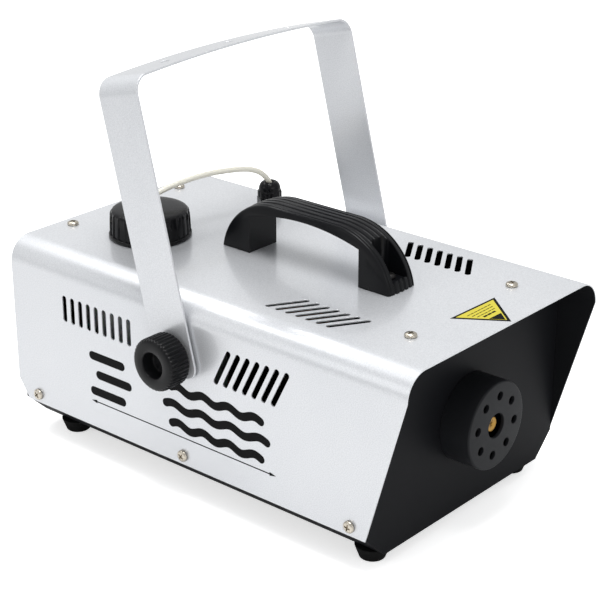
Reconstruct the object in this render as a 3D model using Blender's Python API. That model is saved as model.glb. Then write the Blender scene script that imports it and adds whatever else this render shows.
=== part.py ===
"""Fog machine, as an assembly of separate named pieces.

Metres, +Z up. The machine stands on z = 0 with its nozzle at -Y and its width along X.
The origin lies on the standing surface, under the middle of the case.
"""

import math

import bmesh
import bpy
from mathutils import Matrix, Vector

for old in list(bpy.data.objects):
    bpy.data.objects.remove(old, do_unlink=True)

# ---------------------------------------------------------------- driving dimensions, metres
CLEARANCE = 0.0003            # gap kept between neighbouring pieces
SHEET = 0.001                 # steel sheet of the case

# Case
BODY_WIDTH = 0.200
BODY_LENGTH = 0.3428
BODY_HEIGHT = 0.1337          # underside of the tray to the top of the cover
FOOT_HEIGHT = 0.0096
COVER_BEND = 0.017            # outer radius of the cover's two long bends
SKIRT_HEIGHT = 0.0161         # tray underside to the cover's lower edge
TRAY_CHAMFER = 0.018          # width of the tray's sloping lower corners
TRAY_FLANGE = 0.024           # height of the tray's upright flanges
VISOR_DEPTH = 0.028           # how far the cover overhangs the front panel
REAR_OVERHANG = 0.0056
REAR_CORNER_LENGTH = 0.010
REAR_CORNER_HEIGHT = 0.0138
PANEL_FLANGE = 0.012          # depth of the panels' bent top and bottom flanges

# Vent slots
SLOT_WIDTH = 0.0039
TOP_SLOT_COUNT = 7
TOP_SLOT_LENGTH = 0.0287
TOP_SLOT_PITCH = 0.0082
TOP_SLOT_ANGLE = 32.0
TOP_SLOT_INSET = 0.0382       # cover's side to the middle of the top slots
TOP_SLOT_PLACE = 0.423        # share of the way from the middle to the front
SIDE_FRONT_COUNT = 7
SIDE_FRONT_LENGTH = 0.0286
SIDE_FRONT_PITCH = 0.00803
SIDE_FRONT_ANGLE = 117.0
SIDE_FRONT_PLACE = 0.297      # share of the way from the middle to the front
SIDE_REAR_COUNT = 9
SIDE_REAR_LENGTH = 0.019
SIDE_REAR_PITCH = 0.00772
SIDE_REAR_PLACE = 0.5111      # share of the way from the middle to the rear
SIDE_SLOT_DROP = 0.0375       # cover's top to the middle of the side slots

# Cover screws
SCREW_RADIUS = 0.002
SCREW_LENGTH = 0.008
SCREW_HEAD_RADIUS = 0.004
SCREW_HEAD_HEIGHT = 0.0024
TOP_SCREW_SIDE = 0.0474       # cover's side to the screw's axis
TOP_SCREW_INSET = 0.0062      # panel's outer face to the screw's axis
SIDE_SCREW_HEIGHT = 0.0227
SIDE_SCREW_FRONT_INSET = 0.0129   # front panel to the screw's axis
SIDE_SCREW_MIDDLE = 0.0095
SIDE_SCREW_REAR_INSET = 0.0151    # rear panel to the screw's axis

# Feet
FOOT_RADIUS = 0.0112
FOOT_BOTTOM_RADIUS = 0.0086
FOOT_STEM_RADIUS = 0.003
FOOT_SIDE = 0.025             # case's side to the foot's axis
FOOT_FRONT_INSET = 0.0149
FOOT_REAR_INSET = 0.0258

# Yoke and its knobs
YOKE_SHEET = 0.0015
YOKE_STRAP = 0.035
YOKE_REACH = 0.1825           # pivot to the outer face of the bar
YOKE_BOW = 0.0031             # rise of the bar between its two bends
YOKE_BEND = 0.012
YOKE_TAIL = 0.0147            # arm below the pivot
YOKE_TAIL_CORNER = 0.008
YOKE_LEAN = 14.1              # degrees towards the rear
YOKE_HOLE_PITCH = 0.0587
YOKE_HOLE_RADIUS = 0.0035
PIVOT_Y = 0.0128
PIVOT_DROP = 0.0403           # cover's top to the pivot
FRICTION_WASHER = 0.0009
FRICTION_WASHER_RADIUS = 0.012
FLAT_WASHER = 0.0015
FLAT_WASHER_RADIUS = 0.010
BOLT_RADIUS = 0.004
BOLT_TIP = 0.015              # bolt inside the cover's side
PIVOT_NUT_RADIUS = 0.008
PIVOT_NUT = 0.006
KNOB_RADIUS = 0.0177
KNOB_DEPTH = 0.017
KNOB_RECESS_RADIUS = 0.0088
KNOB_RECESS_DEPTH = 0.009
KNOB_SOCKET = 0.006           # bolt inside the knob

# Carrying handle
HANDLE_WIDTH = 0.027
HANDLE_LENGTH = 0.145
HANDLE_HEIGHT = 0.038
HANDLE_PLACE = 0.658          # share of the free room that lies in front of the handle
HANDLE_LEG = 0.0258
HANDLE_GRIP = 0.0052          # thickness of the grip at its middle
HANDLE_ARCH = 0.0068          # rise of the grip's underside between the legs
POCKET_WIDTH = 0.013
POCKET_LENGTH = 0.0175
POCKET_INSET = 0.0028         # wall between the pocket and the handle's end
POCKET_FLOOR = 0.006
HANDLE_SCREW_RADIUS = 0.0022
HANDLE_SCREW_HEAD = 0.0042

# Fluid tank, cap and tube
TANK_SIDE = 0.0682            # case's side to the tank's axis
TANK_INSET = 0.062            # rear panel to the tank's axis
TANK_SIZE = 0.080
TANK_BOTTOM = 0.0035          # above the tray's underside
TANK_TOP_GAP = 0.010          # under the cover's top
TANK_WALL = 0.0025
NECK_RADIUS = 0.023
NECK_WALL = 0.003
CAP_WALL = 0.0044
CAP_RING_LIP = 0.0005         # how far the cap's ring stands out from its side
CAP_RING = 0.0024
CAP_HEIGHT = 0.0198
CAP_TOP = 0.003
CAP_SEAL = 0.0018
CAP_HOLE_RADIUS = 0.0035
TUBE_RADIUS = 0.002
FILTER_RADIUS = 0.007
FILTER_HEIGHT = 0.014

# Gland where the tube goes into the case
GLAND_SIDE = 0.0314           # case's side to the gland's axis
GLAND_INSET = 0.0819          # rear panel to the gland's axis
GLAND_BODY_RADIUS = 0.0094
GLAND_BODY_HEIGHT = 0.0055
GLAND_THREAD_RADIUS = 0.0070
GLAND_THREAD_DOWN = 0.009
GLAND_BORE = 0.0045
GLAND_NUT_RADIUS = 0.0088
GLAND_NUT_COLLAR = 0.0052
GLAND_DOME_RADIUS = 0.0079
GLAND_HEIGHT = 0.0177         # cover's top to the dome's top
LOCKNUT_RADIUS = 0.011
LOCKNUT = 0.004

# Nozzle and its shroud
NOZZLE_HEIGHT = 0.0637        # tray underside to the nozzle's axis
SHROUD_RADIUS = 0.0292
SHROUD_LENGTH = 0.0222
SHROUD_WALL = 0.0022
SHROUD_HOLE_RADIUS = 0.0082
SHROUD_VENT_RADIUS = 0.003
SHROUD_VENT_CIRCLE = 0.0197
SHROUD_VENT_COUNT = 8
SHROUD_VENT_TURN = -8.2
NOZZLE_RADIUS = 0.0054
NOZZLE_RECESS = 0.003         # shroud's face to the nozzle's tip
NOZZLE_COLLAR_RADIUS = 0.008
NOZZLE_ORIFICE = 0.0006
NOZZLE_PASSAGE = 0.010        # radius of the hole in the front panel

# Heater
HEATER_WIDTH = 0.040
HEATER_HEIGHT = 0.034
HEATER_FRONT_GAP = 0.0174     # front panel's inner face to the block
HEATER_LENGTH = 0.110
INSULATION = 0.0075
INSULATION_START = 0.007
INSULATION_LENGTH = 0.078
BRACKET_SHEET = 0.0015
BRACKET_WIDTH = 0.006
BRACKET_FOOT = 0.010
THERMOSTAT_RADIUS = 0.008
THERMOSTAT_HEIGHT = 0.007
TERMINAL_RADIUS = 0.002
TERMINAL_LENGTH = 0.009

# Pump
PUMP_SIDE = 0.034             # case's side to the pump's axis
PUMP_HEIGHT = 0.0356
PUMP_INSET = 0.0538           # rear panel to the pump's body
PUMP_LENGTH = 0.092
PUMP_RADIUS = 0.009
PUMP_BARB = 0.006
PUMP_BARB_RADIUS = 0.0026
PUMP_PORT = 0.0012
CHAMBER_RADIUS = 0.0055
CHAMBER_FRONT_WALL = 0.015
CHAMBER_REAR_WALL = 0.012
PISTON_RADIUS = 0.0049
PISTON_ROOM = 0.015           # chamber's end to the piston, each way
COIL_SIZE = 0.036
PUMP_BRACKET_FOOT = 0.012
COIL_INSET = 0.020            # front of the pump's body to the coil

# Circuit board
BOARD_SIDE = 0.044            # case's side to the board's middle
BOARD_INSET = 0.0684          # front panel to the board's middle
BOARD_WIDTH = 0.046
BOARD_LENGTH = 0.070
BOARD_SHEET = 0.0016
BOARD_RAISE = 0.006

# Fittings on the rear panel
INLET_SIDE = 0.038            # case's side to the fitting's middle
INLET_DROP = 0.0481           # cover's top to the fitting's middle
INLET_WIDTH = 0.027
INLET_TALL = 0.044
INLET_DEPTH = 0.024
INLET_LIP = 0.0025
SOCKET_WIDTH = 0.0235
SOCKET_TALL = 0.0165
SOCKET_DEPTH = 0.0165
SOCKET_RAISE = 0.0105         # socket's middle above the fitting's middle
DRAWER_WIDTH = 0.0215
DRAWER_TALL = 0.0115
DRAWER_DEPTH = 0.019
DRAWER_DROP = 0.0125
SWITCH_SIDE = 0.074
SWITCH_WIDTH = 0.015
SWITCH_TALL = 0.021
SWITCH_DEPTH = 0.014
SWITCH_WALL = 0.0015
ROCKER_TILT = 8.0
REMOTE_BELOW = 0.047          # mains inlet's middle to the socket's axis
REMOTE_RADIUS = 0.008
REMOTE_FLANGE = 0.0105
REMOTE_DEPTH = 0.012
REMOTE_CAVITY = 0.0066

# ---------------------------------------------------------------- places worked out from them
HALF = BODY_WIDTH / 2
FRONT = -BODY_LENGTH / 2
REAR = BODY_LENGTH / 2
TRAY = FOOT_HEIGHT
TOP = TRAY + BODY_HEIGHT
FLOOR = TRAY + SHEET
INNER = HALF - SHEET - CLEARANCE
PANEL = FRONT + VISOR_DEPTH
BACK = REAR - REAR_OVERHANG
CEILING = TOP - SHEET - CLEARANCE
PIVOT_Z = TOP - PIVOT_DROP
ARM_IN = HALF + FRICTION_WASHER + 2 * CLEARANCE
ARM_OUT = ARM_IN + YOKE_SHEET
KNOB_BACK = ARM_OUT + FLAT_WASHER + 2 * CLEARANCE
NOZZLE_Z = TRAY + NOZZLE_HEIGHT
FACE = PANEL - SHROUD_LENGTH
HEATER_FRONT = PANEL + SHEET + HEATER_FRONT_GAP
HEATER_REAR = HEATER_FRONT + HEATER_LENGTH
NECK_BORE = NECK_RADIUS - NECK_WALL
CAP_INNER = NECK_RADIUS + 2 * CLEARANCE
CAP_RADIUS = CAP_INNER + CAP_WALL
CAP_RING_RADIUS = CAP_RADIUS + CAP_RING_LIP
CAP_BOTTOM = TOP + CLEARANCE
CAP_INSIDE = CAP_BOTTOM + CAP_HEIGHT - CAP_TOP
NECK_TOP = CAP_INSIDE - CAP_SEAL - 2 * CLEARANCE
GLAND_BASE = TOP + CLEARANCE
GLAND_NUT_BASE = GLAND_BASE + GLAND_BODY_HEIGHT + CLEARANCE
GLAND_TOP = TOP + GLAND_HEIGHT
PUMP_Z = TRAY + PUMP_HEIGHT
COVER_HOLE = CLEARANCE + 0.0001

# Places that go with the case's sides, panels and top.
TOP_SLOT_X = HALF - TOP_SLOT_INSET
TOP_SLOT_Y = FRONT * TOP_SLOT_PLACE
SIDE_FRONT_Y = FRONT * SIDE_FRONT_PLACE
SIDE_REAR_Y = REAR * SIDE_REAR_PLACE
TOP_SCREW_X = HALF - TOP_SCREW_SIDE
SIDE_SCREW_FRONT = PANEL + SIDE_SCREW_FRONT_INSET
SIDE_SCREW_REAR = BACK - SIDE_SCREW_REAR_INSET
FOOT_X = HALF - FOOT_SIDE
FOOT_FRONT_Y = PANEL + FOOT_FRONT_INSET
FOOT_REAR_Y = BACK - FOOT_REAR_INSET
TANK_X = TANK_SIDE - HALF
TANK_Y = BACK - TANK_INSET
HANDLE_ROOM = PANEL + PANEL_FLANGE, TANK_Y - CAP_RING_RADIUS
HANDLE_Y = (HANDLE_ROOM[0] + HANDLE_LENGTH / 2
            + HANDLE_PLACE * (HANDLE_ROOM[1] - HANDLE_ROOM[0] - HANDLE_LENGTH))
GLAND_X = HALF - GLAND_SIDE
GLAND_Y = BACK - GLAND_INSET
PUMP_X = HALF - PUMP_SIDE
PUMP_REAR = BACK - PUMP_INSET
PUMP_FRONT = PUMP_REAR - PUMP_LENGTH
CHAMBER_FRONT = PUMP_FRONT + CHAMBER_FRONT_WALL
CHAMBER_REAR = PUMP_REAR - CHAMBER_REAR_WALL
PISTON_FRONT = CHAMBER_FRONT + PISTON_ROOM
PISTON_REAR = CHAMBER_REAR - PISTON_ROOM
COIL_FRONT = PUMP_FRONT + COIL_INSET
COIL_REAR = COIL_FRONT + COIL_SIZE
BOARD_X = HALF - BOARD_SIDE
BOARD_Y = PANEL + BOARD_INSET
INLET_X = HALF - INLET_SIDE
INLET_Z = TOP - INLET_DROP
SWITCH_X = HALF - SWITCH_SIDE
REMOTE_X = INLET_X
REMOTE_Z = INLET_Z - REMOTE_BELOW

# Route of the free tube: distance from the gland's axis towards the cap, and height over
# the cover. The cap's axis lies TUBE_SPAN from the gland's.
TUBE_SPAN = 0.10235
TUBE_ROUTE = [
    (-0.0016, 0.0097), (-0.0010, 0.0129), (0.0001, 0.0161), (0.0018, 0.0191),
    (0.0042, 0.0221), (0.0074, 0.0250), (0.0112, 0.0274), (0.0184, 0.0301),
    (0.0264, 0.0317), (0.0340, 0.0326), (0.0430, 0.0334), (0.0520, 0.0338),
    (0.0610, 0.0337), (0.0700, 0.0331), (0.0790, 0.0321), (0.0860, 0.0310),
    (0.0920, 0.0298), (0.0962, 0.0284), (0.0993, 0.0265), (0.1013, 0.0239),
    (0.1021, 0.0208), (0.10235, 0.0172), (0.10235, 0.0135), (0.10235, 0.0097),
]
TUBE_GAP = 0.0008              # gland's hose to the free tube

# ---------------------------------------------------------------- finishes
FINISHES = {
    "silver_paint": ((0.70, 0.71, 0.72), 0.38, 0.55),
    "black_paint": ((0.018, 0.019, 0.021), 0.55, 0.0),
    "shroud_black": ((0.022, 0.023, 0.025), 0.50, 0.0),
    "black_plastic": ((0.012, 0.012, 0.013), 0.45, 0.0),
    "gloss_black": ((0.008, 0.008, 0.009), 0.22, 0.0),
    "screw_steel": ((0.62, 0.60, 0.56), 0.25, 1.0),
    "brass": ((0.80, 0.55, 0.22), 0.28, 1.0),
    "rubber": ((0.010, 0.010, 0.010), 0.80, 0.0),
    "tank_plastic": ((0.75, 0.75, 0.72), 0.50, 0.0),
    "tube_plastic": ((0.86, 0.83, 0.70), 0.30, 0.0),
    "cast_aluminium": ((0.60, 0.61, 0.62), 0.45, 1.0),
    "insulation": ((0.72, 0.70, 0.62), 0.95, 0.0),
    "board_green": ((0.03, 0.16, 0.06), 0.50, 0.0),
    "copper_coil": ((0.42, 0.12, 0.05), 0.45, 0.3),
}
MATERIALS = {}
for finish, (colour, roughness, metallic) in FINISHES.items():
    material = bpy.data.materials.new(finish)
    material.use_nodes = True
    shader = material.node_tree.nodes["Principled BSDF"]
    shader.inputs["Base Color"].default_value = (*colour, 1.0)
    shader.inputs["Roughness"].default_value = roughness
    shader.inputs["Metallic"].default_value = metallic
    MATERIALS[finish] = material


# ---------------------------------------------------------------- shapes, each a closed bmesh
def place(axis, along, first, second):
    """A point from its coordinate along an axis and along the two other axes."""
    return {
        "X": (along, first, second),
        "Y": (first, along, second),
        "Z": (first, second, along),
    }[axis]


def prism(outline, axis, low, high):
    """An outline in the two other axes, filled and extruded along an axis."""
    shape = bmesh.new()
    face = shape.faces.new([shape.verts.new(place(axis, low, a, b)) for a, b in outline])
    grown = bmesh.ops.extrude_face_region(shape, geom=[face])["geom"]
    ends = [item for item in grown if isinstance(item, bmesh.types.BMVert)]
    bmesh.ops.translate(shape, verts=ends, vec=Vector(place(axis, high - low, 0, 0)))
    bmesh.ops.recalc_face_normals(shape, faces=shape.faces)
    return shape


def slab(low, high):
    """A plain box between two corners."""
    corners = [(low[0], low[1]), (high[0], low[1]), (high[0], high[1]), (low[0], high[1])]
    return prism(corners, "Z", low[2], high[2])


def turned(profile, centre, axis, segments=48):
    """A profile of (radius, along) points spun about an axis through centre."""
    shape = bmesh.new()
    start = Vector(centre)
    points = [shape.verts.new(start + Vector(place(axis, a, r, 0))) for r, a in profile]
    lines = [shape.edges.new(pair) for pair in zip(points, points[1:])]
    if profile[0][0] > 0:
        lines.append(shape.edges.new((points[-1], points[0])))
    bmesh.ops.spin(shape, geom=points + lines, cent=start, axis=Vector(place(axis, 1, 0, 0)),
                   angle=2 * math.pi, steps=segments, use_merge=True, use_duplicate=False)
    bmesh.ops.remove_doubles(shape, verts=shape.verts, dist=1e-6)
    bmesh.ops.recalc_face_normals(shape, faces=shape.faces)
    return shape


def rod(radius, centre, axis, low, high, segments=24):
    """A plain cylinder; low and high are distances from centre along the axis."""
    return turned([(0, low), (radius, low), (radius, high), (0, high)], centre, axis, segments)


def ring(inner, outer, centre, axis, low, high, segments=32):
    """A plain washer or sleeve."""
    profile = [(inner, low), (outer, low), (outer, high), (inner, high)]
    return turned(profile, centre, axis, segments)


def arc(centre, radius, start, end, steps):
    """Points along an arc, angles in degrees."""
    points = []
    for step in range(steps + 1):
        angle = math.radians(start + (end - start) * step / steps)
        points.append((centre[0] + radius * math.cos(angle), centre[1] + radius * math.sin(angle)))
    return points


def bezier(first, second, third, fourth, steps):
    """Points along a cubic curve, both ends included."""
    points = []
    for step in range(steps + 1):
        t = step / steps
        weights = ((1 - t) ** 3, 3 * t * (1 - t) ** 2, 3 * t * t * (1 - t), t ** 3)
        corners = (first, second, third, fourth)
        points.append(tuple(sum(w * c[i] for w, c in zip(weights, corners)) for i in range(len(first))))
    return points


def stadium(centre, length, width, angle, steps=5):
    """Outline of a round-ended slot, its long axis at angle degrees."""
    turn = math.radians(angle)
    reach = length / 2 - width / 2
    points = []
    for end, start in ((1, angle - 90), (-1, angle + 90)):
        middle = (centre[0] + end * reach * math.cos(turn), centre[1] + end * reach * math.sin(turn))
        points += arc(middle, width / 2, start, start + 180, steps)
    return points


def rounded_box(low, high, radius, steps=4):
    """A box with its upright edges rounded."""
    outline = []
    for x, y, start in ((high[0], high[1], 0), (low[0], high[1], 90),
                        (low[0], low[1], 180), (high[0], low[1], 270)):
        centre = (x - radius if x == high[0] else x + radius,
                  y - radius if y == high[1] else y + radius)
        outline += arc(centre, radius, start, start + 90, steps)
    return prism(outline, "Z", low[2], high[2])


def hexagon(radius, centre, low, high):
    """A hexagonal prism on the Z axis, radius to its corners."""
    return prism(arc(centre, radius, 0, 300, 5), "Z", low, high)


def merged(shapes):
    """Several closed shapes in one bmesh."""
    whole = bmesh.new()
    for shape in shapes:
        mesh = bpy.data.meshes.new("shape")
        shape.to_mesh(mesh)
        whole.from_mesh(mesh)
        bpy.data.meshes.remove(mesh)
    return whole


def helper(name, shapes):
    """A hidden object that a Boolean modifier reads."""
    mesh = bpy.data.meshes.new(name)
    merged(shapes).to_mesh(mesh)
    tool = bpy.data.objects.new(name, mesh)
    tool.hide_render = True
    tool.display_type = "WIRE"
    bpy.context.collection.objects.link(tool)
    return tool


def piece(name, shape, finish, adds=(), cuts=(), origin=(0, 0, 0)):
    """One named piece: a shape with others added to it, then others cut from it."""
    mesh = bpy.data.meshes.new(name)
    shape.to_mesh(mesh)
    mesh.transform(Matrix.Translation(-Vector(origin)))
    mesh.shade_smooth()
    mesh.set_sharp_from_angle(angle=math.radians(35))
    mesh.materials.append(MATERIALS[finish])
    thing = bpy.data.objects.new(name, mesh)
    thing.location = origin
    bpy.context.collection.objects.link(thing)
    for operation, shapes in (("UNION", adds), ("DIFFERENCE", cuts)):
        for number, tool_shapes in enumerate(shapes):
            modifier = thing.modifiers.new(operation.lower(), "BOOLEAN")
            modifier.operation = operation
            modifier.solver = "EXACT"
            tool_name = f"{name}_{operation.lower()}_{number}"
            modifier.object = helper(tool_name, tool_shapes)
    return thing


def smooth_route(route, steps=3):
    """Points of a Catmull-Rom curve through a route's own points."""
    points = [Vector(point) for point in route]
    padded = [2 * points[0] - points[1]] + points + [2 * points[-1] - points[-2]]
    smooth = []
    for a, b, c, d in zip(padded, padded[1:], padded[2:], padded[3:]):
        for step in range(steps):
            t = step / steps
            smooth.append(0.5 * (2 * b + (c - a) * t + (2 * a - 5 * b + 4 * c - d) * t * t
                                 + (3 * b - a - 3 * c + d) * t ** 3))
    return smooth + [points[-1]]


def tube(name, points, radius, finish):
    """A round tube along points."""
    curve = bpy.data.curves.new(name, "CURVE")
    curve.dimensions = "3D"
    curve.bevel_depth = radius
    curve.bevel_resolution = 2
    curve.use_fill_caps = True
    spline = curve.splines.new("POLY")
    spline.points.add(len(points) - 1)
    for target, point in zip(spline.points, points):
        target.co = (*point, 1.0)
    curve.materials.append(MATERIALS[finish])
    bpy.context.collection.objects.link(bpy.data.objects.new(name, curve))


# ---------------------------------------------------------------- places of repeated things
SIDES = (("left", -1), ("right", 1))
TOP_SCREW_FRONT = PANEL + TOP_SCREW_INSET
TOP_SCREW_REAR = BACK - TOP_SCREW_INSET
TOP_SCREWS = [(f"{end}_{side}", sign * TOP_SCREW_X, y)
              for end, y in (("front", TOP_SCREW_FRONT), ("rear", TOP_SCREW_REAR))
              for side, sign in SIDES]
SIDE_SCREWS = [(f"{side}_{end}", sign, y) for side, sign in SIDES
               for end, y in (("front", SIDE_SCREW_FRONT), ("middle", SIDE_SCREW_MIDDLE),
                              ("rear", SIDE_SCREW_REAR))]
SIDE_SCREW_Z = TRAY + SIDE_SCREW_HEIGHT
FEET = [(f"{end}_{side}", sign * FOOT_X, y)
        for end, y in (("front", FOOT_FRONT_Y), ("rear", FOOT_REAR_Y)) for side, sign in SIDES]
POCKET_OFFSET = HANDLE_LENGTH / 2 - POCKET_INSET - POCKET_LENGTH / 2
HANDLE_SCREWS = [("front", HANDLE_Y - POCKET_OFFSET), ("rear", HANDLE_Y + POCKET_OFFSET)]


# ---------------------------------------------------------------- case
def make_cover():
    """Bent steel cover: top and sides, raked at the front, with its vents and holes."""
    skirt = TRAY + SKIRT_HEIGHT
    shoulder = TOP - COVER_BEND
    bend_x = HALF - COVER_BEND
    outer = ([(-HALF, skirt)] + arc((-bend_x, shoulder), COVER_BEND, 180, 90, 8)
             + arc((bend_x, shoulder), COVER_BEND, 90, 0, 8) + [(HALF, skirt)])
    inside = COVER_BEND - SHEET
    inner = ([(HALF - SHEET, skirt)] + arc((bend_x, shoulder), inside, 0, 90, 8)
             + arc((-bend_x, shoulder), inside, 90, 180, 8) + [(SHEET - HALF, skirt)])
    cover = prism(outer + inner, "Y", FRONT, REAR)

    margin = 0.005
    rake = [(FRONT - margin, skirt - margin), (PANEL + SHEET, skirt - margin),
            (PANEL + SHEET, skirt), (FRONT, shoulder), (FRONT - margin, shoulder)]
    corner = [(REAR + margin, skirt - margin), (REAR - REAR_CORNER_LENGTH, skirt - margin),
              (REAR - REAR_CORNER_LENGTH, skirt), (REAR, skirt + REAR_CORNER_HEIGHT),
              (REAR + margin, skirt + REAR_CORNER_HEIGHT)]
    ends = [prism(rake, "X", -HALF - margin, HALF + margin),
            prism(corner, "X", -HALF - margin, HALF + margin)]

    through_top = (TOP - SHEET - margin, TOP + margin)
    slots = []
    for side, sign in SIDES:
        for number in range(TOP_SLOT_COUNT):
            y = TOP_SLOT_Y + (number - (TOP_SLOT_COUNT - 1) / 2) * TOP_SLOT_PITCH
            outline = stadium((sign * TOP_SLOT_X, y), TOP_SLOT_LENGTH, SLOT_WIDTH, sign * TOP_SLOT_ANGLE)
            slots.append(prism(outline, "Z", *through_top))
        span = (sign * (HALF - SHEET - margin), sign * (HALF + margin))
        height = TOP - SIDE_SLOT_DROP
        for number in range(SIDE_FRONT_COUNT):
            y = SIDE_FRONT_Y + (number - (SIDE_FRONT_COUNT - 1) / 2) * SIDE_FRONT_PITCH
            outline = stadium((y, height), SIDE_FRONT_LENGTH, SLOT_WIDTH, SIDE_FRONT_ANGLE)
            slots.append(prism(outline, "X", *span))
        for number in range(SIDE_REAR_COUNT):
            y = SIDE_REAR_Y + (number - (SIDE_REAR_COUNT - 1) / 2) * SIDE_REAR_PITCH
            outline = stadium((y, height), SIDE_REAR_LENGTH, SLOT_WIDTH, 90)
            slots.append(prism(outline, "X", *span))

    holes = [rod(SCREW_RADIUS + COVER_HOLE, (x, y, TOP), "Z", -margin, margin, 16)
             for _, x, y in TOP_SCREWS]
    holes += [rod(SCREW_RADIUS + COVER_HOLE, (sign * HALF, y, SIDE_SCREW_Z), "X", -margin, margin, 16)
              for _, sign, y in SIDE_SCREWS]
    holes += [rod(BOLT_RADIUS + COVER_HOLE, (sign * HALF, PIVOT_Y, PIVOT_Z), "X", -margin, margin)
              for _, sign in SIDES]
    holes += [rod(HANDLE_SCREW_RADIUS + COVER_HOLE, (0, y, TOP), "Z", -margin, margin, 16)
              for _, y in HANDLE_SCREWS]
    holes.append(rod(NECK_RADIUS + SHEET, (TANK_X, TANK_Y, TOP), "Z", -margin, margin, 48))
    holes.append(rod(GLAND_THREAD_RADIUS + COVER_HOLE, (GLAND_X, GLAND_Y, TOP), "Z", -margin, margin))
    piece("cover", cover, "silver_paint", cuts=(ends, slots + holes))


def tray_section(inset):
    """The tray's cross-section from its left flange to its right one, moved in by inset."""
    slope = math.tan(math.atan2(SKIRT_HEIGHT, TRAY_CHAMFER) / 2)
    side = INNER - inset
    knee = TRAY + SKIRT_HEIGHT
    flat = HALF - TRAY_CHAMFER - inset * slope
    return side, knee, flat, TRAY + inset


def make_tray():
    """Bent steel tray: floor, sloping corners and upright side flanges."""
    side, knee, flat, floor = tray_section(0)
    in_side, in_knee, in_flat, in_floor = tray_section(SHEET)
    flange = knee + TRAY_FLANGE
    outline = [(-side, flange), (-side, knee), (-flat, floor), (flat, floor), (side, knee),
               (side, flange), (in_side, flange), (in_side, in_knee), (in_flat, in_floor),
               (-in_flat, in_floor), (-in_side, in_knee), (-in_side, flange)]
    low = PANEL + SHEET + CLEARANCE
    high = BACK - SHEET - CLEARANCE
    reach = 0.004
    holes = [rod(SCREW_RADIUS + COVER_HOLE, (sign * INNER, y, SIDE_SCREW_Z), "X", -reach, reach, 16)
             for _, sign, y in SIDE_SCREWS]
    holes += [rod(FOOT_STEM_RADIUS + CLEARANCE, (x, y, TRAY), "Z", -reach, reach, 16)
              for _, x, y in FEET]
    piece("base_tray", prism(outline, "Y", low, high), "black_paint", cuts=(holes,))


def panel_outline():
    """Outline of the front and rear panels: the tray's corners below, the cover's above."""
    side, knee, flat, floor = tray_section(0)
    radius = COVER_BEND - SHEET - CLEARANCE
    centre_z = TOP - COVER_BEND
    centre_x = HALF - COVER_BEND
    return ([(-flat, floor), (flat, floor), (side, knee)]
            + arc((centre_x, centre_z), radius, 0, 90, 6)
            + arc((-centre_x, centre_z), radius, 90, 180, 6) + [(-side, knee)])


def make_panel(name, outer, direction, holes):
    """A panel with flanges bent inwards at its top and bottom; direction points inwards."""
    inner = outer + direction * SHEET
    end = outer + direction * PANEL_FLANGE
    overlap = outer + direction * SHEET / 2
    low, high = sorted((overlap, end))
    top_half = HALF - COVER_BEND - SHEET
    floor = FLOOR + CLEARANCE
    floor_half = HALF - TRAY_CHAMFER - 4 * SHEET
    flanges = [slab((-top_half, low, CEILING - SHEET), (top_half, high, CEILING)),
               slab((-floor_half, low, floor), (floor_half, high, floor + SHEET))]
    reach = 0.004
    screw_y = outer + direction * TOP_SCREW_INSET
    screws = [rod(SCREW_RADIUS + COVER_HOLE, (x, y, CEILING), "Z", -reach, reach, 16)
              for _, x, y in TOP_SCREWS if abs(y - screw_y) < reach]
    plate = prism(panel_outline(), "Y", *sorted((outer, inner)))
    stems = [rod(FOOT_STEM_RADIUS + 4 * CLEARANCE, (x, y, floor), "Z", -reach, reach, 16)
             for _, x, y in FEET]
    piece(name, plate, "black_paint", adds=(flanges,), cuts=(screws + stems + holes,))


def make_case():
    make_cover()
    make_tray()
    reach = 0.004
    passage = rod(NOZZLE_PASSAGE, (0, PANEL, NOZZLE_Z), "Y", -reach, reach, 32)
    make_panel("front_panel", PANEL, 1, [passage])
    width = INLET_WIDTH / 2 + COVER_HOLE
    tall = INLET_TALL / 2 + COVER_HOLE
    inlet_z = INLET_Z
    switch_x = SWITCH_WIDTH / 2 - SWITCH_WALL + COVER_HOLE
    switch_z = SWITCH_TALL / 2 - SWITCH_WALL + COVER_HOLE
    middle = INLET_Z
    fittings = [
        slab((INLET_X - width, BACK - reach, inlet_z - tall), (INLET_X + width, BACK + reach, inlet_z + tall)),
        slab((SWITCH_X - switch_x, BACK - reach, middle - switch_z),
             (SWITCH_X + switch_x, BACK + reach, middle + switch_z)),
        rod(REMOTE_RADIUS + COVER_HOLE, (REMOTE_X, BACK, REMOTE_Z), "Y", -reach, reach),
    ]
    make_panel("rear_panel", BACK, -1, fittings)


def make_feet():
    """Rubber feet, each pushed into the tray by its stem."""
    barb = FLOOR + 3 * CLEARANCE + SHEET
    profile = [(0, 0), (FOOT_BOTTOM_RADIUS - 0.001, 0), (FOOT_BOTTOM_RADIUS, 0.001),
               (FOOT_RADIUS, TRAY - 2 * CLEARANCE), (FOOT_RADIUS - 0.0004, TRAY - CLEARANCE),
               (FOOT_STEM_RADIUS, TRAY - CLEARANCE), (FOOT_STEM_RADIUS, barb + 0.002),
               (0, barb + 0.0035)]
    for place_name, x, y in FEET:
        piece(f"foot_{place_name}", turned(profile, (x, y, 0), "Z", 32), "rubber")


def pan_head(radius, head_radius, head_height, length):
    """Profile of a pan-head screw from its domed top (at +) down to its tip (at -)."""
    under = CLEARANCE
    return [(0, under + head_height), (head_radius * 0.55, under + head_height * 0.93),
            (head_radius * 0.88, under + head_height * 0.62), (head_radius, under + head_height * 0.25),
            (head_radius, under), (radius, under), (radius, -length + radius / 2),
            (radius / 2, -length), (0, -length)]


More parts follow.
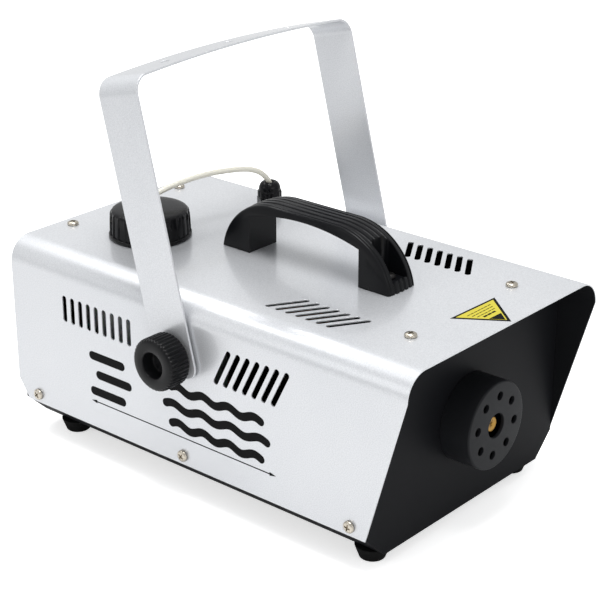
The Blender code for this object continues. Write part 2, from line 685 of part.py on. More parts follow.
def make_cover_screws():
    profile = pan_head(SCREW_RADIUS, SCREW_HEAD_RADIUS, SCREW_HEAD_HEIGHT, SCREW_LENGTH)
    for place_name, x, y in TOP_SCREWS:
        piece(f"top_screw_{place_name}", turned(profile, (x, y, TOP), "Z", 16), "screw_steel")
    for place_name, sign, y in SIDE_SCREWS:
        outward = [(radius, sign * along) for radius, along in profile]
        shape = turned(outward, (sign * HALF, y, SIDE_SCREW_Z), "X", 16)
        piece(f"side_screw_{place_name}", shape, "screw_steel")


# ---------------------------------------------------------------- handle
def make_handle():
    """Moulded carrying handle with a screw pocket in each leg."""
    half = HANDLE_LENGTH / 2
    base = TOP + CLEARANCE
    end_curve = bezier((half, 0), (half - 0.0029, 0.018), (half - 0.0189, HANDLE_HEIGHT - 0.0015),
                       (half - 0.0449, HANDLE_HEIGHT - 0.0005), 8)
    rear = [(HANDLE_Y + y, base + z) for y, z in end_curve]
    front = [(HANDLE_Y - y, base + z) for y, z in reversed(end_curve)]
    leg = half - HANDLE_LEG
    underside = HANDLE_HEIGHT - HANDLE_GRIP
    opening = []
    for step in range(9):
        t = step / 4 - 1
        opening.append((HANDLE_Y + t * leg, base + underside - HANDLE_ARCH * t * t))
    outline = (rear + front + [(HANDLE_Y - leg, base)] + opening + [(HANDLE_Y + leg, base)])
    body = prism(outline, "X", -HANDLE_WIDTH / 2, HANDLE_WIDTH / 2)
    pockets = []
    holes = []
    for _, y in HANDLE_SCREWS:
        low = (-POCKET_WIDTH / 2, y - POCKET_LENGTH / 2, base + POCKET_FLOOR)
        high = (POCKET_WIDTH / 2, y + POCKET_LENGTH / 2, base + HANDLE_HEIGHT + 0.01)
        pockets.append(rounded_box(low, high, 0.002, 2))
        reach = POCKET_FLOOR + 0.001
        holes.append(rod(HANDLE_SCREW_RADIUS + COVER_HOLE, (0, y, base), "Z", -0.001, reach, 16))
    piece("handle", body, "black_plastic", cuts=(pockets, holes))
    profile = pan_head(HANDLE_SCREW_RADIUS, HANDLE_SCREW_HEAD, 0.003, POCKET_FLOOR + 0.009)
    for place_name, y in HANDLE_SCREWS:
        shape = turned(profile, (0, y, base + POCKET_FLOOR), "Z", 16)
        piece(f"handle_screw_{place_name}", shape, "screw_steel")


# ---------------------------------------------------------------- yoke
def yoke_path():
    """Middle line of the yoke's sheet, left tail to right tail, as (x, height over the pivot)."""
    middle = (ARM_IN + ARM_OUT) / 2
    bend = YOKE_BEND - YOKE_SHEET / 2
    crown = YOKE_REACH - YOKE_SHEET / 2
    flat = middle - bend
    shoulder = crown - YOKE_BOW - bend
    path = [(-middle, -YOKE_TAIL)] + arc((-flat, shoulder), bend, 180, 90, 6)
    for step in range(1, 10):
        t = step / 5 - 1
        path.append((t * flat, crown - YOKE_BOW * t * t))
    return path + arc((flat, shoulder), bend, 90, 0, 6) + [(middle, -YOKE_TAIL)]


def ribbon(path, thickness):
    """Closed outline of a sheet of some thickness along a path."""
    outer, inner = [], []
    for number, point in enumerate(path):
        before = Vector(path[max(number - 1, 0)])
        after = Vector(path[min(number + 1, len(path) - 1)])
        along = (after - before).normalized()
        normal = Vector((-along.y, along.x)) * thickness / 2
        outer.append(tuple(Vector(point) + normal))
        inner.append(tuple(Vector(point) - normal))
    return outer + inner[::-1]


def make_yoke():
    """Hanging yoke: one bent strap, leaning back about its pivots."""
    shape = prism(ribbon(yoke_path(), YOKE_SHEET), "Y", -YOKE_STRAP / 2, YOKE_STRAP / 2)
    corners = []
    for edge in shape.edges:
        one, two = (vert.co for vert in edge.verts)
        low = max(one.z, two.z) < -YOKE_TAIL + 1e-5
        if low and abs(one.y - two.y) < 1e-6:
            corners.append(edge)
    bmesh.ops.bevel(shape, geom=corners, offset=YOKE_TAIL_CORNER, offset_type="OFFSET", segments=5,
                    profile=0.5, affect="EDGES", clamp_overlap=False, material=-1)
    reach = 0.006
    middle = (ARM_IN + ARM_OUT) / 2
    holes = [rod(BOLT_RADIUS + COVER_HOLE, (sign * middle, 0, 0), "X", -reach, reach)
             for _, sign in SIDES]
    for number in (-1, 0, 1):
        centre = (number * YOKE_HOLE_PITCH, 0, YOKE_REACH)
        holes.append(rod(YOKE_HOLE_RADIUS, centre, "Z", -reach, reach, 16))
    turn = Matrix.Translation((0, PIVOT_Y, PIVOT_Z)) @ Matrix.Rotation(math.radians(-YOKE_LEAN), 4, "X")
    for each in [shape] + holes:
        bmesh.ops.transform(each, matrix=turn, verts=each.verts)
    piece("yoke", shape, "silver_paint", cuts=(holes,), origin=(0, PIVOT_Y, PIVOT_Z))


def make_pivots():
    """Knobs, their bolts, the washers and the nuts inside the cover, one set a side."""
    for side, sign in SIDES:
        pivot = (sign * HALF, PIVOT_Y, PIVOT_Z)
        at_side = (0, PIVOT_Y, PIVOT_Z)

        def outward(profile, start):
            return [(radius, sign * (start + along)) for radius, along in profile]

        low = HALF + CLEARANCE
        washer = outward([(BOLT_RADIUS + COVER_HOLE, 0), (FRICTION_WASHER_RADIUS, 0),
                          (FRICTION_WASHER_RADIUS, FRICTION_WASHER),
                          (BOLT_RADIUS + COVER_HOLE, FRICTION_WASHER)], low)
        piece(f"friction_washer_{side}", turned(washer, at_side, "X", 32), "rubber", origin=pivot)

        low = ARM_OUT + CLEARANCE
        washer = outward([(BOLT_RADIUS + COVER_HOLE, 0), (FLAT_WASHER_RADIUS, 0),
                          (FLAT_WASHER_RADIUS, FLAT_WASHER),
                          (BOLT_RADIUS + COVER_HOLE, FLAT_WASHER)], low)
        piece(f"flat_washer_{side}", turned(washer, at_side, "X", 32), "screw_steel", origin=pivot)

        knob = outward([(0, KNOB_SOCKET), (BOLT_RADIUS + CLEARANCE, KNOB_SOCKET),
                        (BOLT_RADIUS + CLEARANCE, 0), (KNOB_RADIUS - 0.0006, 0),
                        (KNOB_RADIUS, 0.0006), (KNOB_RADIUS, KNOB_DEPTH - 0.0009),
                        (KNOB_RADIUS - 0.0009, KNOB_DEPTH), (KNOB_RECESS_RADIUS + 0.0006, KNOB_DEPTH),
                        (KNOB_RECESS_RADIUS, KNOB_DEPTH - 0.0006),
                        (KNOB_RECESS_RADIUS, KNOB_DEPTH - KNOB_RECESS_DEPTH),
                        (0, KNOB_DEPTH - KNOB_RECESS_DEPTH)], KNOB_BACK)
        piece(f"knob_{side}", turned(knob, at_side, "X", 48), "black_plastic", origin=pivot)

        start = HALF - BOLT_TIP
        length = KNOB_BACK + KNOB_SOCKET - CLEARANCE - start
        bolt = outward([(0, 0), (BOLT_RADIUS - 0.001, 0), (BOLT_RADIUS, 0.001),
                        (BOLT_RADIUS, length), (0, length)], start)
        piece(f"knob_bolt_{side}", turned(bolt, at_side, "X", 24), "screw_steel", origin=pivot)

        nut = outward([(BOLT_RADIUS + COVER_HOLE, 0), (PIVOT_NUT_RADIUS, 0),
                       (PIVOT_NUT_RADIUS, PIVOT_NUT), (BOLT_RADIUS + COVER_HOLE, PIVOT_NUT)],
                      HALF - SHEET - CLEARANCE - PIVOT_NUT)
        piece(f"pivot_nut_{side}", turned(nut, at_side, "X", 24), "screw_steel")


# ---------------------------------------------------------------- fluid
def make_tank():
    """Blow-moulded fluid tank with a neck through the cover."""
    bottom = TRAY + TANK_BOTTOM
    roof = TOP - TANK_TOP_GAP
    half = TANK_SIZE / 2
    outside = rounded_box((TANK_X - half, TANK_Y - half, bottom),
                          (TANK_X + half, TANK_Y + half, roof), 0.012)
    half -= TANK_WALL
    hollow = rounded_box((TANK_X - half, TANK_Y - half, bottom + TANK_WALL),
                         (TANK_X + half, TANK_Y + half, roof - TANK_WALL), 0.0095)
    axis = (TANK_X, TANK_Y, 0)
    neck = rod(NECK_RADIUS, axis, "Z", roof - TANK_WALL / 2, NECK_TOP, 40)
    bore = rod(NECK_BORE, axis, "Z", roof - 2 * TANK_WALL, NECK_TOP + 0.005, 40)
    piece("fluid_tank", outside, "tank_plastic", adds=([neck],), cuts=([hollow], [bore]))


def make_cap():
    """Screw cap with a loose sealing disc in it; the tube passes through the middle of both."""
    inside = CAP_HEIGHT - CAP_TOP
    profile = [(CAP_INNER, 0), (CAP_RING_RADIUS, 0), (CAP_RING_RADIUS, CAP_RING),
               (CAP_RADIUS, CAP_RING + 0.0004), (CAP_RADIUS, CAP_HEIGHT - 0.002),
               (CAP_RADIUS - 0.0007, CAP_HEIGHT - 0.0007), (CAP_RADIUS - 0.002, CAP_HEIGHT),
               (CAP_HOLE_RADIUS, CAP_HEIGHT + 0.0004), (CAP_HOLE_RADIUS, inside), (CAP_INNER, inside)]
    axis = (TANK_X, TANK_Y, CAP_BOTTOM)
    piece("tank_cap", turned(profile, axis, "Z", 48), "gloss_black", origin=axis)
    seal = ring(CAP_HOLE_RADIUS, NECK_RADIUS, (TANK_X, TANK_Y, NECK_TOP + CLEARANCE), "Z", 0, CAP_SEAL)
    piece("cap_seal", seal, "rubber", origin=axis)


def make_suction():
    """Tube and filter hanging in the tank under the cap."""
    bottom = TRAY + TANK_BOTTOM + TANK_WALL + 4 * CLEARANCE
    filter_top = bottom + FILTER_HEIGHT
    axis = (TANK_X, TANK_Y, 0)
    strainer = turned([(0, bottom), (FILTER_RADIUS, bottom), (FILTER_RADIUS, filter_top - 0.003),
                       (0.003, filter_top), (0, filter_top)], axis, "Z", 24)
    piece("suction_filter", strainer, "cast_aluminium")
    drop = rod(TUBE_RADIUS, axis, "Z", filter_top + CLEARANCE, TOP + TUBE_ROUTE[-1][1] - CLEARANCE, 12)
    piece("suction_tube", drop, "tube_plastic")


def make_tube():
    """The free tube from the gland over to the tank's cap."""
    gland = Vector((GLAND_X, GLAND_Y, TOP))
    towards_cap = (Vector((TANK_X, TANK_Y, TOP)) - gland) / TUBE_SPAN
    route = [gland + towards_cap * along + Vector((0, 0, height)) for along, height in TUBE_ROUTE]
    tube("fluid_tube", smooth_route(route), TUBE_RADIUS, "tube_plastic")


def make_gland():
    """Cable-type gland: body and dome nut above the cover, lock nut below."""
    axis = (GLAND_X, GLAND_Y, 0)
    shaft = ring(GLAND_BORE, GLAND_THREAD_RADIUS, axis, "Z", TOP - SHEET - GLAND_THREAD_DOWN,
                 GLAND_NUT_BASE - CLEARANCE)
    flange = hexagon(GLAND_BODY_RADIUS, axis, GLAND_BASE, GLAND_BASE + GLAND_BODY_HEIGHT)
    bore = rod(GLAND_BORE, axis, "Z", GLAND_BASE - 0.02, GLAND_NUT_BASE + 0.01, 32)
    piece("gland_body", shaft, "gloss_black", adds=([flange],), cuts=([bore],))
    collar = GLAND_NUT_BASE + GLAND_NUT_COLLAR
    rise = GLAND_TOP - collar
    lip = GLAND_DOME_RADIUS - GLAND_BORE
    dome = [(GLAND_BORE + lip * math.cos(angle), collar + rise * math.sin(angle))
            for angle in (0.35, 0.7, 1.05, 1.4)]
    profile = ([(GLAND_BORE, GLAND_NUT_BASE), (GLAND_NUT_RADIUS, GLAND_NUT_BASE),
                (GLAND_NUT_RADIUS, collar - 0.0005), (GLAND_DOME_RADIUS, collar)]
               + dome + [(GLAND_BORE, GLAND_TOP)])
    piece("gland_nut", turned(profile, axis, "Z", 32), "gloss_black")
    top = TOP - SHEET - CLEARANCE
    nut = hexagon(LOCKNUT_RADIUS, axis, top - LOCKNUT, top)
    hole = rod(GLAND_THREAD_RADIUS + COVER_HOLE, axis, "Z", top - LOCKNUT - 0.001, top + 0.001, 32)
    piece("gland_locknut", nut, "gloss_black", cuts=([hole],))


# ---------------------------------------------------------------- nozzle and heater
def make_nozzle():
    """Black shroud cup on the front panel, and the brass nozzle inside it."""
    axis = (0, 0, NOZZLE_Z)
    rim = 0.0008
    back = PANEL - CLEARANCE
    inner = SHROUD_RADIUS - SHROUD_WALL
    cup = [(SHROUD_HOLE_RADIUS, FACE), (SHROUD_RADIUS - rim, FACE), (SHROUD_RADIUS, FACE + rim),
           (SHROUD_RADIUS, back), (inner, back), (inner, FACE + SHROUD_WALL),
           (SHROUD_HOLE_RADIUS, FACE + SHROUD_WALL)]
    vents = []
    for number in range(SHROUD_VENT_COUNT):
        angle = math.radians(SHROUD_VENT_TURN + number * 360 / SHROUD_VENT_COUNT)
        centre = (SHROUD_VENT_CIRCLE * math.cos(angle), FACE, NOZZLE_Z + SHROUD_VENT_CIRCLE * math.sin(angle))
        vents.append(rod(SHROUD_VENT_RADIUS, centre, "Y", -0.002, SHROUD_WALL + 0.002, 16))
    piece("nozzle_shroud", turned(cup, axis, "Y", 48), "shroud_black", cuts=(vents,))
    tip = FACE + NOZZLE_RECESS
    collar = HEATER_FRONT - CLEARANCE
    nozzle = [(0, tip + 0.006), (NOZZLE_ORIFICE, tip + 0.006), (NOZZLE_ORIFICE, tip + 0.0006),
              (NOZZLE_ORIFICE + 0.0006, tip), (NOZZLE_RADIUS - 0.0008, tip), (NOZZLE_RADIUS, tip + 0.0008),
              (NOZZLE_RADIUS, collar - 0.006), (NOZZLE_COLLAR_RADIUS, collar - 0.006),
              (NOZZLE_COLLAR_RADIUS, collar), (0, collar)]
    piece("nozzle", turned(nozzle, axis, "Y", 32), "brass")


def make_heater():
    """Cast heater block in its blanket, held by two brackets, with its thermostat."""
    half = HEATER_WIDTH / 2
    tall = HEATER_HEIGHT / 2
    block = slab((-half, HEATER_FRONT, NOZZLE_Z - tall), (half, HEATER_REAR, NOZZLE_Z + tall))
    terminals = [rod(TERMINAL_RADIUS, (x, HEATER_REAR, NOZZLE_Z), "Y", -0.001, TERMINAL_LENGTH, 12)
                 for x in (-half * 0.6, half * 0.6)]
    piece("heater_block", block, "cast_aluminium", adds=(terminals,))

    low = HEATER_FRONT + INSULATION_START
    high = low + INSULATION_LENGTH
    out_x = half + CLEARANCE + INSULATION
    out_z = tall + CLEARANCE + INSULATION
    blanket = slab((-out_x, low, NOZZLE_Z - out_z), (out_x, high, NOZZLE_Z + out_z))
    room = slab((-half - CLEARANCE, low - 0.001, NOZZLE_Z - tall - CLEARANCE),
                (half + CLEARANCE, high + 0.001, NOZZLE_Z + tall + CLEARANCE))
    piece("heater_insulation", blanket, "insulation", cuts=([room],))

    under = NOZZLE_Z - tall - CLEARANCE
    floor = FLOOR + CLEARANCE
    leg = half + 0.002
    foot = leg + BRACKET_FOOT
    thick = BRACKET_SHEET
    hat = [(-foot, floor), (-leg + thick, floor), (-leg + thick, under - thick),
           (leg - thick, under - thick), (leg - thick, floor), (foot, floor), (foot, floor + thick),
           (leg, floor + thick), (leg, under), (-leg, under), (-leg, floor + thick),
           (-foot, floor + thick)]
    for name, y in (("front", HEATER_FRONT + 0.0005), ("rear", HEATER_REAR - BRACKET_WIDTH - 0.0005)):
        piece(f"heater_bracket_{name}", prism(hat, "Y", y, y + BRACKET_WIDTH), "screw_steel")

    seat = (0, high + (HEATER_REAR - high) / 2, NOZZLE_Z + tall + CLEARANCE)
    disc = turned([(0, 0), (THERMOSTAT_RADIUS, 0), (THERMOSTAT_RADIUS, THERMOSTAT_HEIGHT - 0.001),
                   (THERMOSTAT_RADIUS - 0.001, THERMOSTAT_HEIGHT), (0, THERMOSTAT_HEIGHT)], seat, "Z", 24)
    piece("thermostat", disc, "black_plastic")


# ---------------------------------------------------------------- pump and board
def make_pump():
    """Solenoid pump: body with its piston, coil round it, bracket, and its two lines."""
    axis = (PUMP_X, 0, PUMP_Z)
    profile = [(PUMP_PORT, PUMP_FRONT - PUMP_BARB), (PUMP_BARB_RADIUS, PUMP_FRONT - PUMP_BARB),
               (PUMP_BARB_RADIUS, PUMP_FRONT), (PUMP_RADIUS, PUMP_FRONT), (PUMP_RADIUS, PUMP_REAR),
               (PUMP_BARB_RADIUS, PUMP_REAR), (PUMP_BARB_RADIUS, PUMP_REAR + PUMP_BARB),
               (PUMP_PORT, PUMP_REAR + PUMP_BARB), (PUMP_PORT, CHAMBER_REAR),
               (CHAMBER_RADIUS, CHAMBER_REAR), (CHAMBER_RADIUS, CHAMBER_FRONT),
               (PUMP_PORT, CHAMBER_FRONT)]
    piece("pump_body", turned(profile, axis, "Y", 24), "black_plastic")
    piston = rod(PISTON_RADIUS, axis, "Y", PISTON_FRONT, PISTON_REAR)
    piece("pump_piston", piston, "screw_steel", origin=(PUMP_X, PISTON_FRONT, PUMP_Z))
    half = COIL_SIZE / 2
    coil = slab((PUMP_X - half, COIL_FRONT, PUMP_Z - half), (PUMP_X + half, COIL_REAR, PUMP_Z + half))
    bore = rod(PUMP_RADIUS + 2 * CLEARANCE, axis, "Y", COIL_FRONT - 0.001, COIL_REAR + 0.001)
    piece("pump_coil", coil, "copper_coil", cuts=([bore],))
    floor = FLOOR + CLEARANCE
    seat = PUMP_Z - half - CLEARANCE
    wall = PUMP_X - half - CLEARANCE
    thick = BRACKET_SHEET
    foot = PUMP_X + PUMP_BRACKET_FOOT
    angle = [(foot, floor), (foot, floor + thick), (PUMP_X, floor + thick),
             (PUMP_X, seat - thick), (PUMP_X + half, seat - thick), (PUMP_X + half, seat),
             (wall, seat), (wall, seat + half), (wall - thick, seat + half), (wall - thick, seat - thick),
             (PUMP_X - thick, seat - thick), (PUMP_X - thick, floor + thick),
             (wall, floor + thick), (wall, floor)]
    piece("pump_bracket", prism(angle, "Y", COIL_FRONT, COIL_REAR), "screw_steel")
    top = TOP + TUBE_ROUTE[0][1] - TUBE_GAP
    under = TOP - SHEET - GLAND_THREAD_DOWN - 0.001
    inlet = PUMP_REAR + PUMP_BARB + 2 * CLEARANCE
    hose = bezier((GLAND_X, GLAND_Y, under), (GLAND_X, GLAND_Y, under - 0.050),
                  (PUMP_X, inlet + 0.030, PUMP_Z), (PUMP_X, inlet, PUMP_Z), 30)
    tube("pump_inlet_hose", [(GLAND_X, GLAND_Y, top)] + hose, TUBE_RADIUS, "tube_plastic")
    outlet = PUMP_FRONT - PUMP_BARB - 2 * CLEARANCE
    pipe = bezier((PUMP_X, outlet, PUMP_Z), (PUMP_X, outlet - 0.015, PUMP_Z),
                  (0, HEATER_REAR + 0.035, NOZZLE_Z), (0, HEATER_REAR + 2 * CLEARANCE, NOZZLE_Z), 36)
    tube("pump_outlet_pipe", pipe, TUBE_RADIUS, "brass")


def make_board():
    """Control board on four stand-offs, with its relay, transformer and capacitor."""
    low_x, high_x = BOARD_X - BOARD_WIDTH / 2, BOARD_X + BOARD_WIDTH / 2
    low_y, high_y = BOARD_Y - BOARD_LENGTH / 2, BOARD_Y + BOARD_LENGTH / 2
    under = FLOOR + CLEARANCE + BOARD_RAISE
    over = under + BOARD_SHEET
    inset = 0.006
    sunk = over - BOARD_SHEET / 2
    legs = [rod(0.003, (x, y, 0), "Z", FLOOR + CLEARANCE, under + BOARD_SHEET / 2, 12)
            for x in (low_x + inset, high_x - inset) for y in (low_y + inset, high_y - inset)]
    parts = [slab((low_x + 0.008, low_y + 0.012, sunk), (low_x + 0.032, low_y + 0.032, over + 0.018)),
             slab((high_x - 0.022, high_y - 0.028, sunk), (high_x - 0.004, high_y - 0.012, over + 0.012)),
             rod(0.005, (low_x + 0.014, high_y - 0.018, 0), "Z", sunk, over + 0.014, 16)]
    plate = slab((low_x, low_y, under), (high_x, high_y, over))
    piece("circuit_board", plate, "board_green", adds=(legs, parts))


# ---------------------------------------------------------------- rear fittings
def make_inlet():
    """Mains inlet with a fuse drawer under its socket."""
    middle = INLET_Z
    lip = 0.0025
    face = BACK + CLEARANCE + INLET_LIP
    deep = BACK - INLET_DEPTH
    body = slab((INLET_X - INLET_WIDTH / 2, deep, middle - INLET_TALL / 2),
                (INLET_X + INLET_WIDTH / 2, face - INLET_LIP / 2, middle + INLET_TALL / 2))
    flange = slab((INLET_X - INLET_WIDTH / 2 - lip, face - INLET_LIP, middle - INLET_TALL / 2 - lip),
                  (INLET_X + INLET_WIDTH / 2 + lip, face, middle + INLET_TALL / 2 + lip))
    socket_z = middle + SOCKET_RAISE
    wide, tall, cut = SOCKET_WIDTH / 2, SOCKET_TALL / 2, 0.005
    outline = [(INLET_X - wide, socket_z - tall), (INLET_X + wide, socket_z - tall),
               (INLET_X + wide, socket_z + tall - cut), (INLET_X + wide - cut, socket_z + tall),
               (INLET_X - wide + cut, socket_z + tall), (INLET_X - wide, socket_z + tall - cut)]
    socket = prism(outline, "Y", face - SOCKET_DEPTH, face + 0.002)
    drawer_z = middle - DRAWER_DROP
    gap = CLEARANCE
    room = slab((INLET_X - DRAWER_WIDTH / 2 - gap, face - DRAWER_DEPTH - gap, drawer_z - DRAWER_TALL / 2 - gap),
                (INLET_X + DRAWER_WIDTH / 2 + gap, face + 0.002, drawer_z + DRAWER_TALL / 2 + gap))
    pins = []
    for x, z in ((-0.007, -0.002), (0.007, -0.002), (0.0, 0.002)):
        pins.append(slab((INLET_X + x - 0.001, face - SOCKET_DEPTH - 0.001, socket_z + z - 0.002),
                         (INLET_X + x + 0.001, face - 0.004, socket_z + z + 0.002)))
    inlet = piece("mains_inlet", body, "black_plastic", adds=([flange],), cuts=([socket, room],))
    blades = inlet.modifiers.new("blades", "BOOLEAN")
    blades.operation = "UNION"
    blades.solver = "EXACT"
    blades.object = helper("mains_inlet_blades", pins)
    drawer = slab((INLET_X - DRAWER_WIDTH / 2, face - DRAWER_DEPTH, drawer_z - DRAWER_TALL / 2),
                  (INLET_X + DRAWER_WIDTH / 2, face + 0.001, drawer_z + DRAWER_TALL / 2))
    pocket = slab((INLET_X - DRAWER_WIDTH / 2 + 0.0015, face - DRAWER_DEPTH + 0.0015, drawer_z - DRAWER_TALL / 2 + 0.0015),
                  (INLET_X + DRAWER_WIDTH / 2 - 0.0015, face - 0.0015, drawer_z + DRAWER_TALL))
    piece("fuse_drawer", drawer, "black_plastic", cuts=([pocket],), origin=(INLET_X, face, drawer_z))


def make_switch():
    """Rocker switch: its body clipped in the rear panel, and the rocker."""
    middle = INLET_Z
    wide, tall, wall = SWITCH_WIDTH / 2, SWITCH_TALL / 2, SWITCH_WALL
    low = BACK + CLEARANCE
    lip = 0.0018
    body = slab((SWITCH_X - wide + wall, BACK - SWITCH_DEPTH, middle - tall + wall),
                (SWITCH_X + wide - wall, low + lip / 2, middle + tall - wall))
    flange = slab((SWITCH_X - wide, low, middle - tall), (SWITCH_X + wide, low + lip, middle + tall))
    room = slab((SWITCH_X - wide + 2 * wall, BACK - SWITCH_DEPTH + wall, middle - tall + 2 * wall),
                (SWITCH_X + wide - 2 * wall, low + lip + 0.001, middle + tall - 2 * wall))
    piece("switch_body", body, "black_plastic", adds=([flange],), cuts=([room],))
    pivot = (SWITCH_X, BACK - 0.0015, middle)
    reach = tall - 2 * wall - 2 * CLEARANCE
    outline = [(0.0022, 0), (0.0040, reach - 0.0004), (0.0030, reach), (-0.004, 0.004),
               (-0.004, -0.004), (0.0030, -reach), (0.0040, -reach + 0.0004)]
    half = wide - 2 * wall - CLEARANCE
    rocker = prism(outline, "X", -half, half)
    turn = Matrix.Translation(pivot) @ Matrix.Rotation(math.radians(-ROCKER_TILT), 4, "X")
    bmesh.ops.transform(rocker, matrix=turn, verts=rocker.verts)
    piece("switch_rocker", rocker, "gloss_black", origin=pivot)


def make_remote():
    """Round socket for a wired remote control."""
    axis = (REMOTE_X, BACK, REMOTE_Z)
    low = CLEARANCE
    lip = 0.002
    profile = [(0, -REMOTE_DEPTH), (REMOTE_RADIUS, -REMOTE_DEPTH), (REMOTE_RADIUS, low),
               (REMOTE_FLANGE, low), (REMOTE_FLANGE, low + lip - 0.0005),
               (REMOTE_FLANGE - 0.0005, low + lip), (REMOTE_CAVITY, low + lip),
               (REMOTE_CAVITY, -REMOTE_DEPTH + 0.003), (0, -REMOTE_DEPTH + 0.003)]
    piece("remote_socket", turned(profile, axis, "Y", 32), "black_plastic")


make_case()
make_feet()
make_cover_screws()
make_handle()
make_yoke()
make_pivots()
make_tank()
make_cap()
make_suction()
make_tube()
make_gland()
make_nozzle()
make_heater()
make_pump()
make_board()
make_inlet()
make_switch()
make_remote()
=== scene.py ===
"""Fog machine: the looks of every visible piece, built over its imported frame, in metres."""
import math

import bmesh
import bpy
from mathutils import Matrix, Vector


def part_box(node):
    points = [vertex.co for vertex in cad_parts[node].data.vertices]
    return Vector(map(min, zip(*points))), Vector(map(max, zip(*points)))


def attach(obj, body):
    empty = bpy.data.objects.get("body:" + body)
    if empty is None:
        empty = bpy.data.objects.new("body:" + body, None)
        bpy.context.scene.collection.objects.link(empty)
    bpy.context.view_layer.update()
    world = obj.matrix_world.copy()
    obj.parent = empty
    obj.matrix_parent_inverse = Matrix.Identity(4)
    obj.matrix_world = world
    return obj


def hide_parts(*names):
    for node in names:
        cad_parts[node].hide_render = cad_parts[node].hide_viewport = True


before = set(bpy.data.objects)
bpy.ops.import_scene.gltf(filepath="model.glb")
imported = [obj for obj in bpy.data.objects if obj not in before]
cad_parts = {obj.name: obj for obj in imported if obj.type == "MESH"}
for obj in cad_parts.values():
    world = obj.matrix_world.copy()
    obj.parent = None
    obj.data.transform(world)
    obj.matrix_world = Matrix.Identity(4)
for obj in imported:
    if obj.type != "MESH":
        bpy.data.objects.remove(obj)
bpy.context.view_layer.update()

# -------------------- camera, floor and light
# The machine stands on a white table under large soft lamps, seen from its front left
# corner and a little above.
CAMERA_PLACE = (-0.7998, -0.6999, 0.5554)
CAMERA_YAW, CAMERA_PITCH, CAMERA_ROLL = 48.99, 22.606, -0.121
CAMERA_LENS = 103.1

lens = bpy.data.cameras.new("camera")
lens.lens = CAMERA_LENS
lens.sensor_width = 36
camera = bpy.data.objects.new("camera", lens)
camera.matrix_world = (
    Matrix.Translation(CAMERA_PLACE)
    @ Matrix.Rotation(math.radians(-CAMERA_YAW), 4, "Z")
    @ Matrix.Rotation(math.radians(90 - CAMERA_PITCH), 4, "X")
    @ Matrix.Rotation(math.radians(CAMERA_ROLL), 4, "Z"))
bpy.context.collection.objects.link(camera)
bpy.context.scene.camera = camera
bpy.context.scene.view_settings.view_transform = "Standard"


def plain(name, colour, roughness, metallic=0.0):
    """A new material with its Principled shader's main values set."""
    made = bpy.data.materials.new(name)
    made.use_nodes = True
    shader = made.node_tree.nodes["Principled BSDF"]
    shader.inputs["Base Color"].default_value = (*colour, 1.0)
    shader.inputs["Roughness"].default_value = roughness
    shader.inputs["Metallic"].default_value = metallic
    return made


def link(nodes, source, output, target, entry):
    """Joins one node's output to another's input."""
    nodes.id_data.links.new(source.outputs[output], target.inputs[entry])


TABLE_SIZE = 6
TABLE_GLOW, TABLE_GLOW_SEEN = 0.03, 0.62    # what it gives the machine, and what the camera sees
floor_form = bmesh.new()
bmesh.ops.create_grid(floor_form, x_segments=1, y_segments=1, size=TABLE_SIZE)
floor_mesh = bpy.data.meshes.new("table_top")
floor_form.to_mesh(floor_mesh)
floor_form.free()
white_table = plain("white_table", (0.90, 0.90, 0.90), 0.70)
table_nodes = white_table.node_tree.nodes
table_shader = table_nodes["Principled BSDF"]
table_shader.inputs["Emission Color"].default_value = (1.0, 1.0, 1.0, 1.0)
table_glow, table_seen = table_nodes.new("ShaderNodeMapRange"), table_nodes.new("ShaderNodeLightPath")
table_glow.inputs["To Min"].default_value = TABLE_GLOW
table_glow.inputs["To Max"].default_value = TABLE_GLOW_SEEN
link(table_nodes, table_seen, "Is Camera Ray", table_glow, "Value")
link(table_nodes, table_glow, "Result", table_shader, "Emission Strength")
floor_mesh.materials.append(white_table)
table_top = bpy.data.objects.new("table_top", floor_mesh)
bpy.context.collection.objects.link(table_top)

sky = bpy.data.worlds.new("studio")
sky.use_nodes = True
sky_nodes = sky.node_tree.nodes
daylight, backdrop = sky_nodes["Background"], sky_nodes.new("ShaderNodeBackground")
daylight.inputs["Color"].default_value = (0.98, 0.99, 1.0, 1.0)
daylight.inputs["Strength"].default_value = 0.66
backdrop.inputs["Color"].default_value = (1.0, 1.0, 1.0, 1.0)
backdrop.inputs["Strength"].default_value = 1.05
sky_seen, sky_choice = sky_nodes.new("ShaderNodeLightPath"), sky_nodes.new("ShaderNodeMixShader")
link(sky_nodes, sky_seen, "Is Camera Ray", sky_choice, 0)
link(sky_nodes, daylight, 0, sky_choice, 1)
link(sky_nodes, backdrop, 0, sky_choice, 2)
link(sky_nodes, sky_choice, 0, sky_nodes["World Output"], "Surface")
bpy.context.scene.world = sky

# Each lamp: name, place, width, height and watts; all of them face the same point.
LAMP_AIM = Vector((0.0, 0.0, 0.1))
LAMPS = (
    ("overhead", (-0.10, -0.10, 1.50), 0.5, 1.0, 18.5),
    ("left_fill", (-1.9, 0.9, 0.9), 0.9, 0.9, 2.6),
    ("rear_strip", (0.0, 1.15, 1.50), 1.5, 0.25, 6.0),
    ("front_strip", (-0.3, -1.9, 0.8), 1.0, 0.6, 3.0),
)
for lamp_name, lamp_place, lamp_width, lamp_height, watts in LAMPS:
    lamp = bpy.data.lights.new(lamp_name, "AREA")
    lamp.shape = "RECTANGLE"
    lamp.size = lamp_width
    lamp.size_y = lamp_height
    lamp.energy = watts
    stand = bpy.data.objects.new(lamp_name, lamp)
    stand.location = lamp_place
    stand.rotation_euler = (LAMP_AIM - Vector(lamp_place)).to_track_quat("-Z", "Y").to_euler()
    bpy.context.collection.objects.link(stand)

